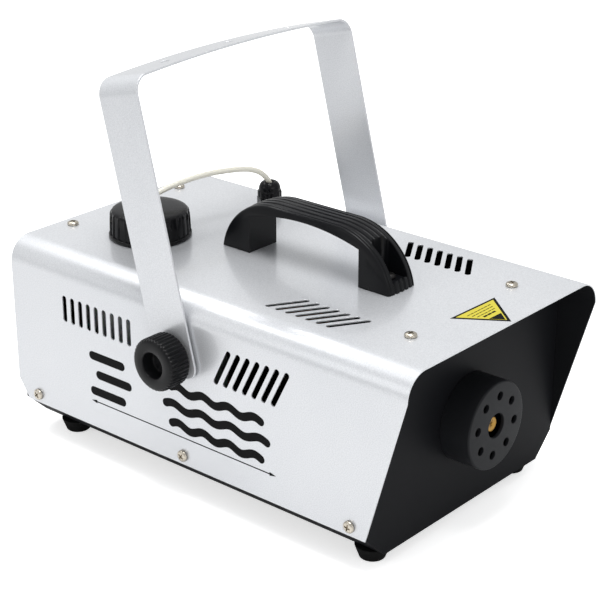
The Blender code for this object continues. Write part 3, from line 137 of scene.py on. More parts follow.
# -------------------- free fluid tube
# A soft translucent plastic tube, 4 mm across. It rises out of the gland, crosses over
# the cover and drops through the middle of the tank's cap.
TUBE_DIAMETER = 0.004
GLAND_AXIS = Vector((0.0686, 0.0839, 0.0))
CAP_AXIS = Vector((-0.0318, 0.1038, 0.0))
# Distance from the gland's axis towards the cap's, and height; the axes are 0.10235 apart.
TUBE_ROUTE = [
    (-0.0016, 0.1530), (-0.0010, 0.1562), (0.0001, 0.1594), (0.0018, 0.1624),
    (0.0042, 0.1654), (0.0074, 0.1683), (0.0112, 0.1707), (0.0184, 0.1734),
    (0.0264, 0.1750), (0.0340, 0.1759), (0.0430, 0.1767), (0.0520, 0.1771),
    (0.0610, 0.1770), (0.0700, 0.1764), (0.0790, 0.1754), (0.0860, 0.1743),
    (0.0920, 0.1731), (0.0962, 0.1717), (0.0993, 0.1698), (0.1013, 0.1672),
    (0.1021, 0.1641), (0.10235, 0.1605), (0.10235, 0.1568), (0.10235, 0.1530),
]


def smooth_route(points, steps):
    """Points of a Catmull-Rom curve through a route's own points."""
    padded = [2 * points[0] - points[1]] + points + [2 * points[-1] - points[-2]]
    smooth = []
    for a, b, c, d in zip(padded, padded[1:], padded[2:], padded[3:]):
        for step in range(steps):
            t = step / steps
            smooth.append(0.5 * (2 * b + (c - a) * t + (2 * a - 5 * b + 4 * c - d) * t * t
                                 + (3 * b - a - 3 * c + d) * t ** 3))
    return smooth + [points[-1]]


towards_cap = (CAP_AXIS - GLAND_AXIS).normalized()
tube_points = smooth_route(
    [GLAND_AXIS + towards_cap * along + Vector((0, 0, height)) for along, height in TUBE_ROUTE], 5)
tube_curve = bpy.data.curves.new("free_tube", "CURVE")
tube_curve.dimensions = "3D"
tube_curve.bevel_depth = TUBE_DIAMETER / 2
tube_curve.bevel_resolution = 6
tube_curve.use_fill_caps = True
tube_line = tube_curve.splines.new("POLY")
tube_line.points.add(len(tube_points) - 1)
for knot, point in zip(tube_line.points, tube_points):
    knot.co = (*point, 1.0)


def mottle_group():
    """Node group: slow colour variation and fine bump height for moulded and cast surfaces."""
    group = bpy.data.node_groups.new("mottle", "ShaderNodeTree")
    face = group.interface
    for title in ("Light", "Dark"):
        face.new_socket(name=title, in_out="INPUT", socket_type="NodeSocketColor")
    for title in ("Patch Scale", "Grain Scale", "Roughness", "Roughness Spread"):
        face.new_socket(name=title, in_out="INPUT", socket_type="NodeSocketFloat")
    face.new_socket(name="Color", in_out="OUTPUT", socket_type="NodeSocketColor")
    for title in ("Roughness", "Height"):
        face.new_socket(name=title, in_out="OUTPUT", socket_type="NodeSocketFloat")
    nodes = group.nodes
    given, told = nodes.new("NodeGroupInput"), nodes.new("NodeGroupOutput")
    place = nodes.new("ShaderNodeTexCoord")
    patches, grain = nodes.new("ShaderNodeTexNoise"), nodes.new("ShaderNodeTexNoise")
    patches.inputs["Detail"].default_value = 5.0
    grain.inputs["Detail"].default_value = 2.0
    shade = nodes.new("ShaderNodeMix")
    shade.data_type = "RGBA"
    spread, total = nodes.new("ShaderNodeMath"), nodes.new("ShaderNodeMath")
    spread.operation, total.operation = "MULTIPLY", "ADD"
    for texture, scale in ((patches, "Patch Scale"), (grain, "Grain Scale")):
        link(nodes, place, "Object", texture, "Vector")
        link(nodes, given, scale, texture, "Scale")
    link(nodes, patches, "Fac", shade, "Factor")
    link(nodes, given, "Dark", shade, 6)
    link(nodes, given, "Light", shade, 7)
    link(nodes, shade, 2, told, "Color")
    link(nodes, patches, "Fac", spread, 0)
    link(nodes, given, "Roughness Spread", spread, 1)
    link(nodes, spread, 0, total, 0)
    link(nodes, given, "Roughness", total, 1)
    link(nodes, total, 0, told, "Roughness")
    link(nodes, grain, "Fac", told, "Height")
    return group


mottle = mottle_group()


def moulded(name, light, dark, roughness, spread, patches, grain, bump, metallic=0.0, depth=0.0001, mirror=0.5):
    """A material whose colour and roughness wander slowly and whose surface has a fine grain."""
    made = plain(name, light, roughness, metallic)
    nodes = made.node_tree.nodes
    shader = nodes["Principled BSDF"]
    shader.inputs["Specular IOR Level"].default_value = mirror
    variation = nodes.new("ShaderNodeGroup")
    variation.node_tree = mottle
    for title, value in (("Light", (*light, 1.0)), ("Dark", (*dark, 1.0)), ("Patch Scale", patches),
                         ("Grain Scale", grain), ("Roughness", roughness), ("Roughness Spread", spread)):
        variation.inputs[title].default_value = value
    raised = nodes.new("ShaderNodeBump")
    raised.inputs["Strength"].default_value = bump
    raised.inputs["Distance"].default_value = depth
    link(nodes, variation, "Color", shader, "Base Color")
    link(nodes, variation, "Roughness", shader, "Roughness")
    link(nodes, variation, "Height", raised, "Height")
    link(nodes, raised, "Normal", shader, "Normal")
    return made


def shine(finish, weight, roughness):
    """Gives a material a clear glossy skin."""
    shader = finish.node_tree.nodes["Principled BSDF"]
    shader.inputs["Coat Weight"].default_value = weight
    shader.inputs["Coat Roughness"].default_value = roughness


soft_tube = moulded("soft_tube", (0.96, 0.94, 0.86), (0.90, 0.87, 0.74), 0.26, 0.12, 60, 500, 0.1)
soft_tube_shader = soft_tube.node_tree.nodes["Principled BSDF"]
soft_tube_shader.inputs["Transmission Weight"].default_value = 0.3
soft_tube_shader.inputs["Coat Weight"].default_value = 0.3
tube_curve.materials.append(soft_tube)
free_tube = bpy.data.objects.new("free_tube", tube_curve)
bpy.context.collection.objects.link(free_tube)
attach(free_tube, "case")
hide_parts("fluid_tube")


def refinish(finish, *nodes):
    """Gives CAD pieces that are shown in their own shape a finish."""
    for node in nodes:
        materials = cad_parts[node].data.materials
        materials.clear()
        materials.append(finish)


refinish(soft_tube, "pump_inlet_hose", "suction_tube")

# -------------------- tray and panels
# Folded steel, powder coated satin black: the tray with its sloping lower corners, and
# the front and rear panels set inside the cover's ends.
coated_black = moulded("coated_black", (0.0085, 0.0090, 0.0105), (0.0060, 0.0062, 0.0075), 0.42, 0.10, 14, 1500, 0.22,
                       mirror=0.06)


def settle(form, name, finish, node=None, body="case", ease=0.0, segments=2, angle=35):
    """Makes a form a finished piece: smooth shading, sharp or eased edges, and its place in the table."""
    mesh = bpy.data.meshes.new(name)
    form.to_mesh(mesh)
    form.free()
    mesh.shade_smooth()
    mesh.set_sharp_from_angle(angle=math.radians(angle))
    for each in finish if isinstance(finish, tuple) else (finish,):
        mesh.materials.append(each)
    piece = bpy.data.objects.new(name, mesh)
    bpy.context.collection.objects.link(piece)
    if ease:
        rounding = piece.modifiers.new("eased_edges", "BEVEL")
        rounding.width = ease
        rounding.segments = segments
        rounding.limit_method = "ANGLE"
        rounding.angle_limit = math.radians(angle)
        rounding.harden_normals = True
    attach(piece, body)
    if node:
        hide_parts(node)
    return piece


def node_form(node):
    """A copy of a CAD node's shape with its loose triangles joined into whole faces."""
    form = bmesh.new()
    form.from_mesh(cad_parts[node].data)
    bmesh.ops.remove_doubles(form, verts=form.verts, dist=2e-6)
    bmesh.ops.dissolve_limit(form, angle_limit=math.radians(0.5), verts=form.verts, edges=form.edges)
    for face in form.faces:
        face.material_index = 0
    return form


for steel_node, steel_name in (("base_tray", "tray_coated"), ("front_panel", "front_panel_coated"),
                               ("rear_panel", "rear_panel_coated")):
    settle(node_form(steel_node), steel_name, coated_black, steel_node, ease=0.00025)

# -------------------- feet
# Tapered black rubber feet with a rounded tread, each pushed into the tray by its stem.
FOOT_TREAD_ROUND = 0.0016
FOOT_TAPER = 0.77             # tread's radius as a share of the foot's
FOOT_STEM_RADIUS = 0.003
FOOT_DIMPLE_RADIUS, FOOT_DIMPLE_DEPTH = 0.0036, 0.0004
CLEARANCE = 0.0003            # gap kept between neighbouring pieces
foot_rubber = moulded("foot_rubber", (0.0060, 0.0060, 0.0060), (0.0035, 0.0035, 0.0035), 0.62, 0.2, 40, 1200, 0.5,
                      mirror=0.15)


def turned(profile, centre, axis="Z", steps=72):
    """A profile of (radius, distance along the axis) points spun once about an axis through centre."""
    form = bmesh.new()
    turn = {"X": Matrix.Rotation(math.radians(90), 4, "Y"), "Z": Matrix.Identity(4),
            "Y": Matrix.Rotation(math.radians(-90), 4, "X")}[axis]
    points = [form.verts.new((radius, 0, along)) for radius, along in profile]
    lines = [form.edges.new(pair) for pair in zip(points, points[1:])]
    if profile[0][0] > 0:
        lines.append(form.edges.new((points[-1], points[0])))
    bmesh.ops.spin(form, geom=points + lines, cent=(0, 0, 0), axis=(0, 0, 1), dvec=(0, 0, 0),
                   angle=2 * math.pi, steps=steps, use_merge=True, use_duplicate=False)
    bmesh.ops.remove_doubles(form, verts=form.verts, dist=1e-6)
    bmesh.ops.recalc_face_normals(form, faces=form.faces)
    bmesh.ops.transform(form, matrix=Matrix.Translation(centre) @ turn, verts=form.verts)
    return form


def arc(centre, radius, start, end, steps):
    """Points along an arc, angles in degrees."""
    angles = [math.radians(start + (end - start) * step / steps) for step in range(steps + 1)]
    return [(centre[0] + radius * math.cos(angle), centre[1] + radius * math.sin(angle)) for angle in angles]


def middle(node):
    """The middle of a CAD node's box."""
    low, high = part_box(node)
    return (low + high) / 2


tray_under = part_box("base_tray")[0].z
for foot in ("foot_front_left", "foot_front_right", "foot_rear_left", "foot_rear_right"):
    low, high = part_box(foot)
    top_radius = (high.x - low.x) / 2
    tread = top_radius * FOOT_TAPER
    profile = ([(0, FOOT_DIMPLE_DEPTH), (FOOT_DIMPLE_RADIUS - FOOT_DIMPLE_DEPTH, FOOT_DIMPLE_DEPTH),
                (FOOT_DIMPLE_RADIUS, 0)]
               + arc((tread - FOOT_TREAD_ROUND, FOOT_TREAD_ROUND), FOOT_TREAD_ROUND, -90, -8, 6)
               + [(top_radius, tray_under - 0.0012), (top_radius, tray_under - 0.0005),
                  (top_radius - 0.0004, tray_under - CLEARANCE), (FOOT_STEM_RADIUS, tray_under - CLEARANCE),
                  (FOOT_STEM_RADIUS, high.z - 0.0015), (0, high.z)])
    settle(turned(profile, (middle(foot).x, middle(foot).y, 0)), foot + "_rubber", foot_rubber, foot)

# -------------------- cover
# One folded sheet, enamelled silver-grey with a fine metal flake; its inner faces, the visor's underside among them,
# are painted near-black as painted shade. The vent slots and holes are punched before folding.
SHEET = 0.001
COVER_BEND = 0.017
SLOT_WIDTH = 0.0039
REAR_CORNER_LENGTH, REAR_CORNER_HEIGHT = 0.010, 0.0138
SCREW_HOLE, BOLT_HOLE, HANDLE_SCREW_HOLE, GLAND_HOLE = 0.0024, 0.0044, 0.0026, 0.0074    # radii
cover_low, cover_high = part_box("cover")
HALF = cover_high.x
TOP = cover_high.z
SKIRT = cover_low.z
FRONT, REAR = cover_low.y, cover_high.y
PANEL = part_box("front_panel")[0].y


def enamel_material():
    """Silver-grey enamel: metal flake, a slight orange peel, and faint dust and handling marks."""
    made = plain("silver_enamel", (0.62, 0.63, 0.65), 0.32, 0.45)
    nodes = made.node_tree.nodes
    shader = nodes["Principled BSDF"]
    place = nodes.new("ShaderNodeTexCoord")
    flake, peel, clouds = (nodes.new("ShaderNodeTexNoise") for _ in range(3))
    flake.inputs["Scale"].default_value = 1400.0
    flake.inputs["Detail"].default_value = 2.0
    peel.inputs["Scale"].default_value = 420.0
    clouds.inputs["Scale"].default_value = 9.0
    clouds.inputs["Detail"].default_value = 4.0
    for texture in (flake, peel, clouds):
        link(nodes, place, "Object", texture, "Vector")
    sparkle, haze = nodes.new("ShaderNodeValToRGB"), nodes.new("ShaderNodeValToRGB")
    for ramp, texture, stops in ((sparkle, flake, ((0.30, (0.565, 0.575, 0.595)), (0.72, (0.70, 0.71, 0.73)))),
                                 (haze, clouds, ((0.35, (0.955, 0.96, 0.965)), (0.65, (1.0, 1.0, 1.0))))):
        for element, (position, colour) in zip(ramp.color_ramp.elements, stops):
            element.position = position
            element.color = (*colour, 1.0)
        link(nodes, texture, "Fac", ramp, "Fac")
    tint = nodes.new("ShaderNodeMix")
    tint.data_type = "RGBA"
    tint.blend_type = "MULTIPLY"
    tint.inputs[0].default_value = 1.0
    link(nodes, sparkle, "Color", tint, 6)
    link(nodes, haze, "Color", tint, 7)
    link(nodes, tint, 2, shader, "Base Color")
    gloss = nodes.new("ShaderNodeMapRange")
    gloss.inputs["To Min"].default_value = 0.26
    gloss.inputs["To Max"].default_value = 0.38
    link(nodes, clouds, "Fac", gloss, "Value")
    link(nodes, gloss, "Result", shader, "Roughness")
    heights = nodes.new("ShaderNodeMath")
    heights.operation = "MULTIPLY_ADD"
    heights.inputs[1].default_value = 0.35
    link(nodes, flake, "Fac", heights, 0)
    link(nodes, peel, "Fac", heights, 2)
    raised = nodes.new("ShaderNodeBump")
    raised.inputs["Strength"].default_value = 0.16
    raised.inputs["Distance"].default_value = 0.00006
    link(nodes, heights, "Value", raised, "Height")
    link(nodes, raised, "Normal", shader, "Normal")
    return made


silver_enamel = enamel_material()
shine(silver_enamel, 0.65, 0.09)
# Near-black for the cover's inner faces: painted shade that darkens the slots and the visor's underside.
inside_shade_black = moulded("inside_shade_black", (0.0105, 0.0110, 0.0125), (0.0070, 0.0072, 0.0085), 0.5, 0.15, 20, 1300, 0.3,
                        mirror=0.12)


def axis_point(axis, along, first, second):
    """A point from its coordinate along an axis and along the two other axes."""
    return {"X": (along, first, second), "Y": (first, along, second), "Z": (first, second, along)}[axis]


def prism(outline, axis, low, high):
    """An outline in the two other axes, filled and extruded along an axis."""
    form = bmesh.new()
    face = form.faces.new([form.verts.new(axis_point(axis, low, a, b)) for a, b in outline])
    grown = bmesh.ops.extrude_face_region(form, geom=[face])["geom"]
    far_end = [item for item in grown if isinstance(item, bmesh.types.BMVert)]
    bmesh.ops.translate(form, verts=far_end, vec=axis_point(axis, high - low, 0, 0))
    bmesh.ops.recalc_face_normals(form, faces=form.faces)
    return form


def stadium(centre, length, width, angle, steps=8):
    """Outline of a round-ended slot, its long axis at angle degrees."""
    turn = math.radians(angle)
    reach = length / 2 - width / 2
    points = []
    for end, start in ((1, angle - 90), (-1, angle + 90)):
        core = (centre[0] + end * reach * math.cos(turn), centre[1] + end * reach * math.sin(turn))
        points += arc(core, width / 2, start, start + 180, steps)
    return points


def together(forms):
    """Several forms as one; they don't touch each other."""
    whole = bmesh.new()
    for form in forms:
        mesh = bpy.data.meshes.new("part")
        form.to_mesh(mesh)
        form.free()
        whole.from_mesh(mesh)
        bpy.data.meshes.remove(mesh)
    return whole


def carved(form, *tools):
    """A form with tools cut from it, one after another."""
    blanks = []
    for shape in (form, *tools):
        mesh = bpy.data.meshes.new("blank")
        shape.to_mesh(mesh)
        shape.free()
        blanks.append(bpy.data.objects.new("blank", mesh))
        bpy.context.collection.objects.link(blanks[-1])
    for tool in blanks[1:]:
        cut = blanks[0].modifiers.new("cut", "BOOLEAN")
        cut.operation = "DIFFERENCE"
        cut.solver = "EXACT"
        cut.object = tool
    made = bmesh.new()
    made.from_object(blanks[0], bpy.context.evaluated_depsgraph_get())
    for blank in blanks:
        mesh = blank.data
        bpy.data.objects.remove(blank)
        bpy.data.meshes.remove(mesh)
    bmesh.ops.remove_doubles(made, verts=made.verts, dist=1e-6)
    return made


def cylinder(radius, centre, axis, low, high, steps=48):
    """A plain round cutter about an axis."""
    return turned([(0, low), (radius, low), (radius, high), (0, high)], centre, axis, steps)


def cover_section():
    """The folded sheet's cross-section: sides, two long bends and top."""
    shoulder, bend_x = TOP - COVER_BEND, HALF - COVER_BEND
    outer = ([(-HALF, SKIRT)] + arc((-bend_x, shoulder), COVER_BEND, 180, 90, 20)
             + arc((bend_x, shoulder), COVER_BEND, 90, 0, 20) + [(HALF, SKIRT)])
    inner = ([(HALF - SHEET, SKIRT)] + arc((bend_x, shoulder), COVER_BEND - SHEET, 0, 90, 20)
             + arc((-bend_x, shoulder), COVER_BEND - SHEET, 90, 180, 20) + [(SHEET - HALF, SKIRT)])
    return outer + inner


TOP_SLOTS, TOP_SLOT_PITCH, TOP_SLOT_LENGTH, TOP_SLOT_ANGLE = 7, 0.0082, 0.0287, 32.0
TOP_SLOT_X, TOP_SLOT_Y = 0.0618, -0.0725
SIDE_FRONT_SLOTS, SIDE_FRONT_PITCH, SIDE_FRONT_LENGTH, SIDE_FRONT_ANGLE = 7, 0.00803, 0.0286, 117.0
SIDE_FRONT_Y = -0.0509
SIDE_REAR_SLOTS, SIDE_REAR_PITCH, SIDE_REAR_LENGTH = 9, 0.00772, 0.019
SIDE_REAR_Y = 0.0876
SIDE_SLOT_Z = TOP - 0.0375
TOP_SCREWS = ("top_screw_front_left", "top_screw_front_right", "top_screw_rear_left", "top_screw_rear_right")
SIDE_SCREWS = tuple(f"side_screw_{side}_{end}" for side in ("left", "right") for end in ("front", "middle", "rear"))
HANDLE_SCREWS = ("handle_screw_front", "handle_screw_rear")
REACH = 0.006                 # how far a cutter runs past the sheet

slots = []
for sign in (-1, 1):
    span = sorted((sign * (HALF - REACH), sign * (HALF + REACH)))
    for count, pitch, length, angle, centre in (
            (SIDE_FRONT_SLOTS, SIDE_FRONT_PITCH, SIDE_FRONT_LENGTH, SIDE_FRONT_ANGLE, SIDE_FRONT_Y),
            (SIDE_REAR_SLOTS, SIDE_REAR_PITCH, SIDE_REAR_LENGTH, 90, SIDE_REAR_Y)):
        for number in range(count):
            y = centre + (number - (count - 1) / 2) * pitch
            slots.append(prism(stadium((y, SIDE_SLOT_Z), length, SLOT_WIDTH, angle), "X", *span))
    for number in range(TOP_SLOTS):
        y = TOP_SLOT_Y + (number - (TOP_SLOTS - 1) / 2) * TOP_SLOT_PITCH
        outline = stadium((sign * TOP_SLOT_X, y), TOP_SLOT_LENGTH, SLOT_WIDTH, sign * TOP_SLOT_ANGLE)
        slots.append(prism(outline, "Z", TOP - REACH, TOP + REACH))

bolt_place = middle("pivot_nut_left")
neck_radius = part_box("cap_seal")[1].x - middle("cap_seal").x
holes = [cylinder(SCREW_HOLE, (middle(node).x, middle(node).y, TOP), "Z", -REACH, REACH, 24) for node in TOP_SCREWS]
holes += [cylinder(SCREW_HOLE, (math.copysign(HALF, middle(node).x), middle(node).y, middle(node).z),
                   "X", -REACH, REACH, 24) for node in SIDE_SCREWS]
holes += [cylinder(BOLT_HOLE, (sign * HALF, bolt_place.y, bolt_place.z), "X", -REACH, REACH) for sign in (-1, 1)]
holes += [cylinder(HANDLE_SCREW_HOLE, (0, middle(node).y, TOP), "Z", -REACH, REACH, 24) for node in HANDLE_SCREWS]
holes.append(cylinder(neck_radius + SHEET, (CAP_AXIS.x, CAP_AXIS.y, TOP), "Z", -REACH, REACH, 72))
holes.append(cylinder(GLAND_HOLE, (GLAND_AXIS.x, GLAND_AXIS.y, TOP), "Z", -REACH, REACH))
shoulder = TOP - COVER_BEND
rake = prism([(FRONT - REACH, SKIRT - REACH), (PANEL + SHEET, SKIRT - REACH), (PANEL + SHEET, SKIRT),
              (FRONT, shoulder), (FRONT - REACH, shoulder)], "X", -HALF - REACH, HALF + REACH)
corner_y, corner_z = REAR - REAR_CORNER_LENGTH, SKIRT + REAR_CORNER_HEIGHT
corner = prism([(REAR + REACH, SKIRT - REACH), (corner_y, SKIRT - REACH), (corner_y, SKIRT), (REAR, corner_z),
                (REAR + REACH, corner_z)], "X", -HALF - REACH, HALF + REACH)
cover_form = carved(prism(cover_section(), "Y", FRONT, REAR), together([rake, corner]), together(slots + holes))


def sheet_depth(point):
    """How deep a point lies under the cover's outer surface."""
    bend_x = HALF - COVER_BEND
    across, up = abs(point.x), point.z
    if across > bend_x and up > shoulder:
        return COVER_BEND - math.hypot(across - bend_x, up - shoulder)
    return min(HALF - across, TOP - up)


# Faces under the outer skin get the second, near-black material: painted shade for the inside of the case.
for face in cover_form.faces:
    inner_side = min(sheet_depth(vert.co) for vert in face.verts) > SHEET * 0.8
    face.material_index = 1 if inner_side else 0
settle(cover_form, "cover_sheet", (silver_enamel, inside_shade_black), "cover", ease=0.00018)

# -------------------- screws
# Pan-head machine screws with cross recesses: four through the top and three a side, nickel-plated, and one blackened
# at the bottom of each of the handle's pockets.
nickel = moulded("nickel", (0.62, 0.57, 0.49), (0.46, 0.42, 0.35), 0.20, 0.16, 220, 2400, 0.12, metallic=1.0)
blackened = moulded("blackened", (0.035, 0.033, 0.032), (0.018, 0.017, 0.017), 0.34, 0.16, 220, 2400, 0.12,
                    metallic=0.8)
CROSS_LENGTH, CROSS_WIDTH, CROSS_DEPTH = 0.55, 0.14, 0.62   # shares of the head's width and height
COVER_SCREW = 0.0024, 0.002, 0.008        # head's height, shank's radius and length
HANDLE_SCREW = 0.003, 0.0022, 0.015


def pan_screw(head_radius, head_height, shank_radius, length):
    """A pan-head screw on the Z axis, the underside of its head at zero."""
    profile = [(0, head_height)]
    for step in range(1, 9):
        angle = math.radians(step * 11.25)
        profile.append((head_radius * math.sin(angle) ** 0.8, head_height * (0.25 + 0.75 * math.cos(angle) ** 0.7)))
    profile += [(head_radius, head_height * 0.12), (head_radius - 0.0002, 0), (shank_radius, 0),
                (shank_radius, 0.0008 - length), (shank_radius * 0.6, -length), (0, -length)]
    long_half, wide_half = head_radius * CROSS_LENGTH, head_radius * CROSS_WIDTH
    floor = head_height * (1 - CROSS_DEPTH)
    cross = []
    for number in range(4):
        turn = math.radians(90 * number)
        for a, b in ((wide_half, wide_half), (long_half, wide_half), (long_half, -wide_half)):
            cross.append((a * math.cos(turn) - b * math.sin(turn), a * math.sin(turn) + b * math.cos(turn)))
    ordered = sorted(set((round(a, 7), round(b, 7)) for a, b in cross), key=lambda p: math.atan2(p[1], p[0]))
    return carved(turned(profile, (0, 0, 0), steps=40), prism(ordered, "Z", floor, head_height * 1.5))


for screw_node in TOP_SCREWS + SIDE_SCREWS + HANDLE_SCREWS:
    low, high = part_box(screw_node)
    spot = middle(screw_node)
    finish, sizes = (blackened, HANDLE_SCREW) if screw_node in HANDLE_SCREWS else (nickel, COVER_SCREW)
    screw_form = pan_screw((high.y - low.y) / 2, *sizes)
    twist = Matrix.Rotation(spot.x * 9 + spot.y * 31, 4, "Z")    # no two recesses line up
    if screw_node in SIDE_SCREWS:
        sign = math.copysign(1, spot.x)
        seat = (Matrix.Translation((sign * (HALF + CLEARANCE), spot.y, spot.z))
                @ Matrix.Rotation(sign * math.pi / 2, 4, "Y"))
    else:
        seat = Matrix.Translation((spot.x, spot.y, high.z - sizes[0]))
    bmesh.ops.transform(screw_form, matrix=seat @ twist, verts=screw_form.verts)
    settle(screw_form, screw_node + "_plated", finish, screw_node, ease=0.00008, angle=40)

# -------------------- carrying handle
# One black moulding, screwed down through a pocket in each leg. Its back is crowned and
# has lengthwise grooves that run over the grip and down both legs.
HANDLE_GROOVES = 4
GROOVE_DEPTH = 0.0010
HANDLE_CROWN = 0.0011
HANDLE_LEG, HANDLE_GRIP, HANDLE_ARCH = 0.0258, 0.0052, 0.0068
HANDLE_SLICES = 96            # strips across its width
BACK_LEVEL = 0.0285           # half the length over which its back sinks straight down
GROOVED_WIDTH, RIM_START, RIM_DROP = 0.86, 0.90, 0.0012    # the first two as shares of the half width
POCKET_WIDTH, POCKET_LENGTH, POCKET_INSET, POCKET_FLOOR = 0.0155, 0.0200, 0.0022, 0.006
POCKET_ROUND_IN, POCKET_ROUND_OUT = 0.0045, 0.0015
handle_low, handle_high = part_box("handle")
handle_y = middle("handle").y
handle_half = (handle_high.y - handle_low.y) / 2
handle_rise = handle_high.z - handle_low.z
handle_wide = handle_high.x - handle_low.x
grip_plastic = moulded("grip_plastic", (0.0055, 0.0058, 0.0068), (0.0035, 0.0037, 0.0045), 0.24, 0.10, 26, 1500, 0.06,
                       mirror=0.12)
shine(grip_plastic, 0.10, 0.12)


def bezier(first, second, third, fourth, steps):
    """Points along a cubic curve, both ends included."""
    points = []
    for step in range(steps + 1):
        t = step / steps
        weights = ((1 - t) ** 3, 3 * t * (1 - t) ** 2, 3 * t * t * (1 - t), t ** 3)
        points.append(tuple(sum(weight * corner[i] for weight, corner in zip(weights, (first, second, third, fourth)))
                            for i in (0, 1)))
    return points


def grown_loop(form, edges):
    """Extrudes a closed loop of edges in place, and gives its new points and edges."""
    grown = bmesh.ops.extrude_edge_only(form, edges=edges)["geom"]
    points = {item for item in grown if isinstance(item, bmesh.types.BMVert)}
    return points, [item for item in grown if isinstance(item, bmesh.types.BMEdge) and set(item.verts) <= points]


def handle_form():
    """The handle's side outline stretched across its width, its back sunk into grooves and crowned."""
    end = bezier((handle_half, 0), (handle_half - 0.0029, 0.018), (handle_half - 0.0189, handle_rise - 0.0010),
                 (handle_half - 0.0449, handle_rise), 24)
    level = [(y, handle_rise) for y in (0.018, 0.009, 0.0, -0.009, -0.018)]
    back = end + level + [(-y, z) for y, z in reversed(end)]
    leg, underside = handle_half - HANDLE_LEG, handle_rise - HANDLE_GRIP
    opening = [(t * leg, underside - HANDLE_ARCH * t * t) for t in (step / 10 - 1 for step in range(21))]
    outline = back + [(-leg, 0)] + opening + [(leg, 0)]
    form = bmesh.new()
    half = handle_wide / 2
    ring = [form.verts.new((-half, handle_y + y, handle_low.z + z)) for y, z in outline]
    edges = [form.edges.new(pair) for pair in zip(ring, ring[1:] + ring[:1])]
    form.faces.new(ring)
    for _ in range(HANDLE_SLICES):
        points, edges = grown_loop(form, edges)
        bmesh.ops.translate(form, verts=list(points), vec=(handle_wide / HANDLE_SLICES, 0, 0))
    bmesh.ops.edgeloop_fill(form, edges=edges)
    bmesh.ops.recalc_face_normals(form, faces=form.faces)
    form.verts.ensure_lookup_table()
    inside = [Vector((handle_y + y, handle_low.z + z)) for y, z in opening + [(-leg, 0), (leg, 0)]]
    for vert in form.verts:
        spot = Vector((vert.co.y, vert.co.z))
        if min((spot - p).length for p in inside) < 1e-4:
            continue
        across = vert.co.x / half
        rounded = max(0.0, (abs(across) - RIM_START) / (1 - RIM_START))
        wave = 0.5 - 0.5 * math.cos(math.pi * (across / GROOVED_WIDTH + 1) * (HANDLE_GROOVES + 1))
        groove = max(0.0, 1 - wave * 2.2) if abs(across) < 0.84 else 0.0
        sink = GROOVE_DEPTH * groove + HANDLE_CROWN * across ** 2 + RIM_DROP * rounded ** 2
        inward = Vector((0, -1))
        if abs(spot.x - handle_y) >= BACK_LEVEL:
            inward = Vector((handle_y + math.copysign(BACK_LEVEL, spot.x - handle_y) - spot.x,
                             min(0.0, handle_low.z + 0.004 - spot.y)))
        vert.co.yz = spot + inward.normalized() * sink
    return form


pocket_offset = handle_half - POCKET_INSET - POCKET_LENGTH / 2
pockets = []
for direction in (-1, 1):
    pocket_y = handle_y + direction * pocket_offset
    outline = []
    for x, y, start in ((1, 1, 0), (-1, 1, 90), (-1, -1, 180), (1, -1, 270)):
        round_off = POCKET_ROUND_IN if y == -direction else POCKET_ROUND_OUT
        outline += arc((x * (POCKET_WIDTH / 2 - round_off), pocket_y + y * (POCKET_LENGTH / 2 - round_off)),
                       round_off, start, start + 90, 6)
    pockets.append(prism(outline, "Z", handle_low.z + POCKET_FLOOR, handle_high.z + 0.01))
    screw_y = middle(HANDLE_SCREWS[direction > 0]).y
    pockets.append(cylinder(HANDLE_SCREW_HOLE, (0, screw_y, handle_low.z), "Z", -0.001, POCKET_FLOOR + 0.001, 24))
settle(carved(handle_form(), together(pockets[::2]), together(pockets[1::2])), "handle_moulding", grip_plastic,
       "handle", ease=0.0004, segments=3, angle=40)

# -------------------- hanging yoke
# One steel strap bent into a tall arch and enamelled like the cover, with three holes
# in its bar for a clamp and one in each arm for the knob's bolt.
YOKE_SHEET, YOKE_STRAP, YOKE_REACH, YOKE_BOW, YOKE_BEND = 0.0015, 0.035, 0.1825, 0.0031, 0.012
YOKE_TAIL, YOKE_TAIL_CORNER, YOKE_LEAN = 0.0147, 0.008, 14.1
YOKE_HOLE_PITCH, YOKE_HOLE_RADIUS = 0.0587, 0.0035
pivot = Vector((0, bolt_place.y, bolt_place.z))
arm_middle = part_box("yoke")[1].x - YOKE_SHEET / 2


def yoke_path():
    """Middle line of the strap, left tail to right tail, as (x, height over the pivot)."""
    bend, crown = YOKE_BEND - YOKE_SHEET / 2, YOKE_REACH - YOKE_SHEET / 2
    flat, rise = arm_middle - bend, YOKE_REACH - YOKE_SHEET / 2 - YOKE_BOW - bend
    bar = [(t * flat, crown - YOKE_BOW * t * t) for t in (step / 12 - 1 for step in range(1, 24))]
    return ([(-arm_middle, -YOKE_TAIL)] + arc((-flat, rise), bend, 180, 90, 14) + bar
            + arc((flat, rise), bend, 90, 0, 14) + [(arm_middle, -YOKE_TAIL)])


def ribbon(path, thickness):
    """Closed outline of a sheet of some thickness along a path."""
    outer, inner = [], []
    for number, point in enumerate(path):
        before, after = Vector(path[max(number - 1, 0)]), Vector(path[min(number + 1, len(path) - 1)])
        along = (after - before).normalized()
        normal = Vector((-along.y, along.x)) * thickness / 2
        outer.append(tuple(Vector(point) + normal))
        inner.append(tuple(Vector(point) - normal))
    return outer + inner[::-1]


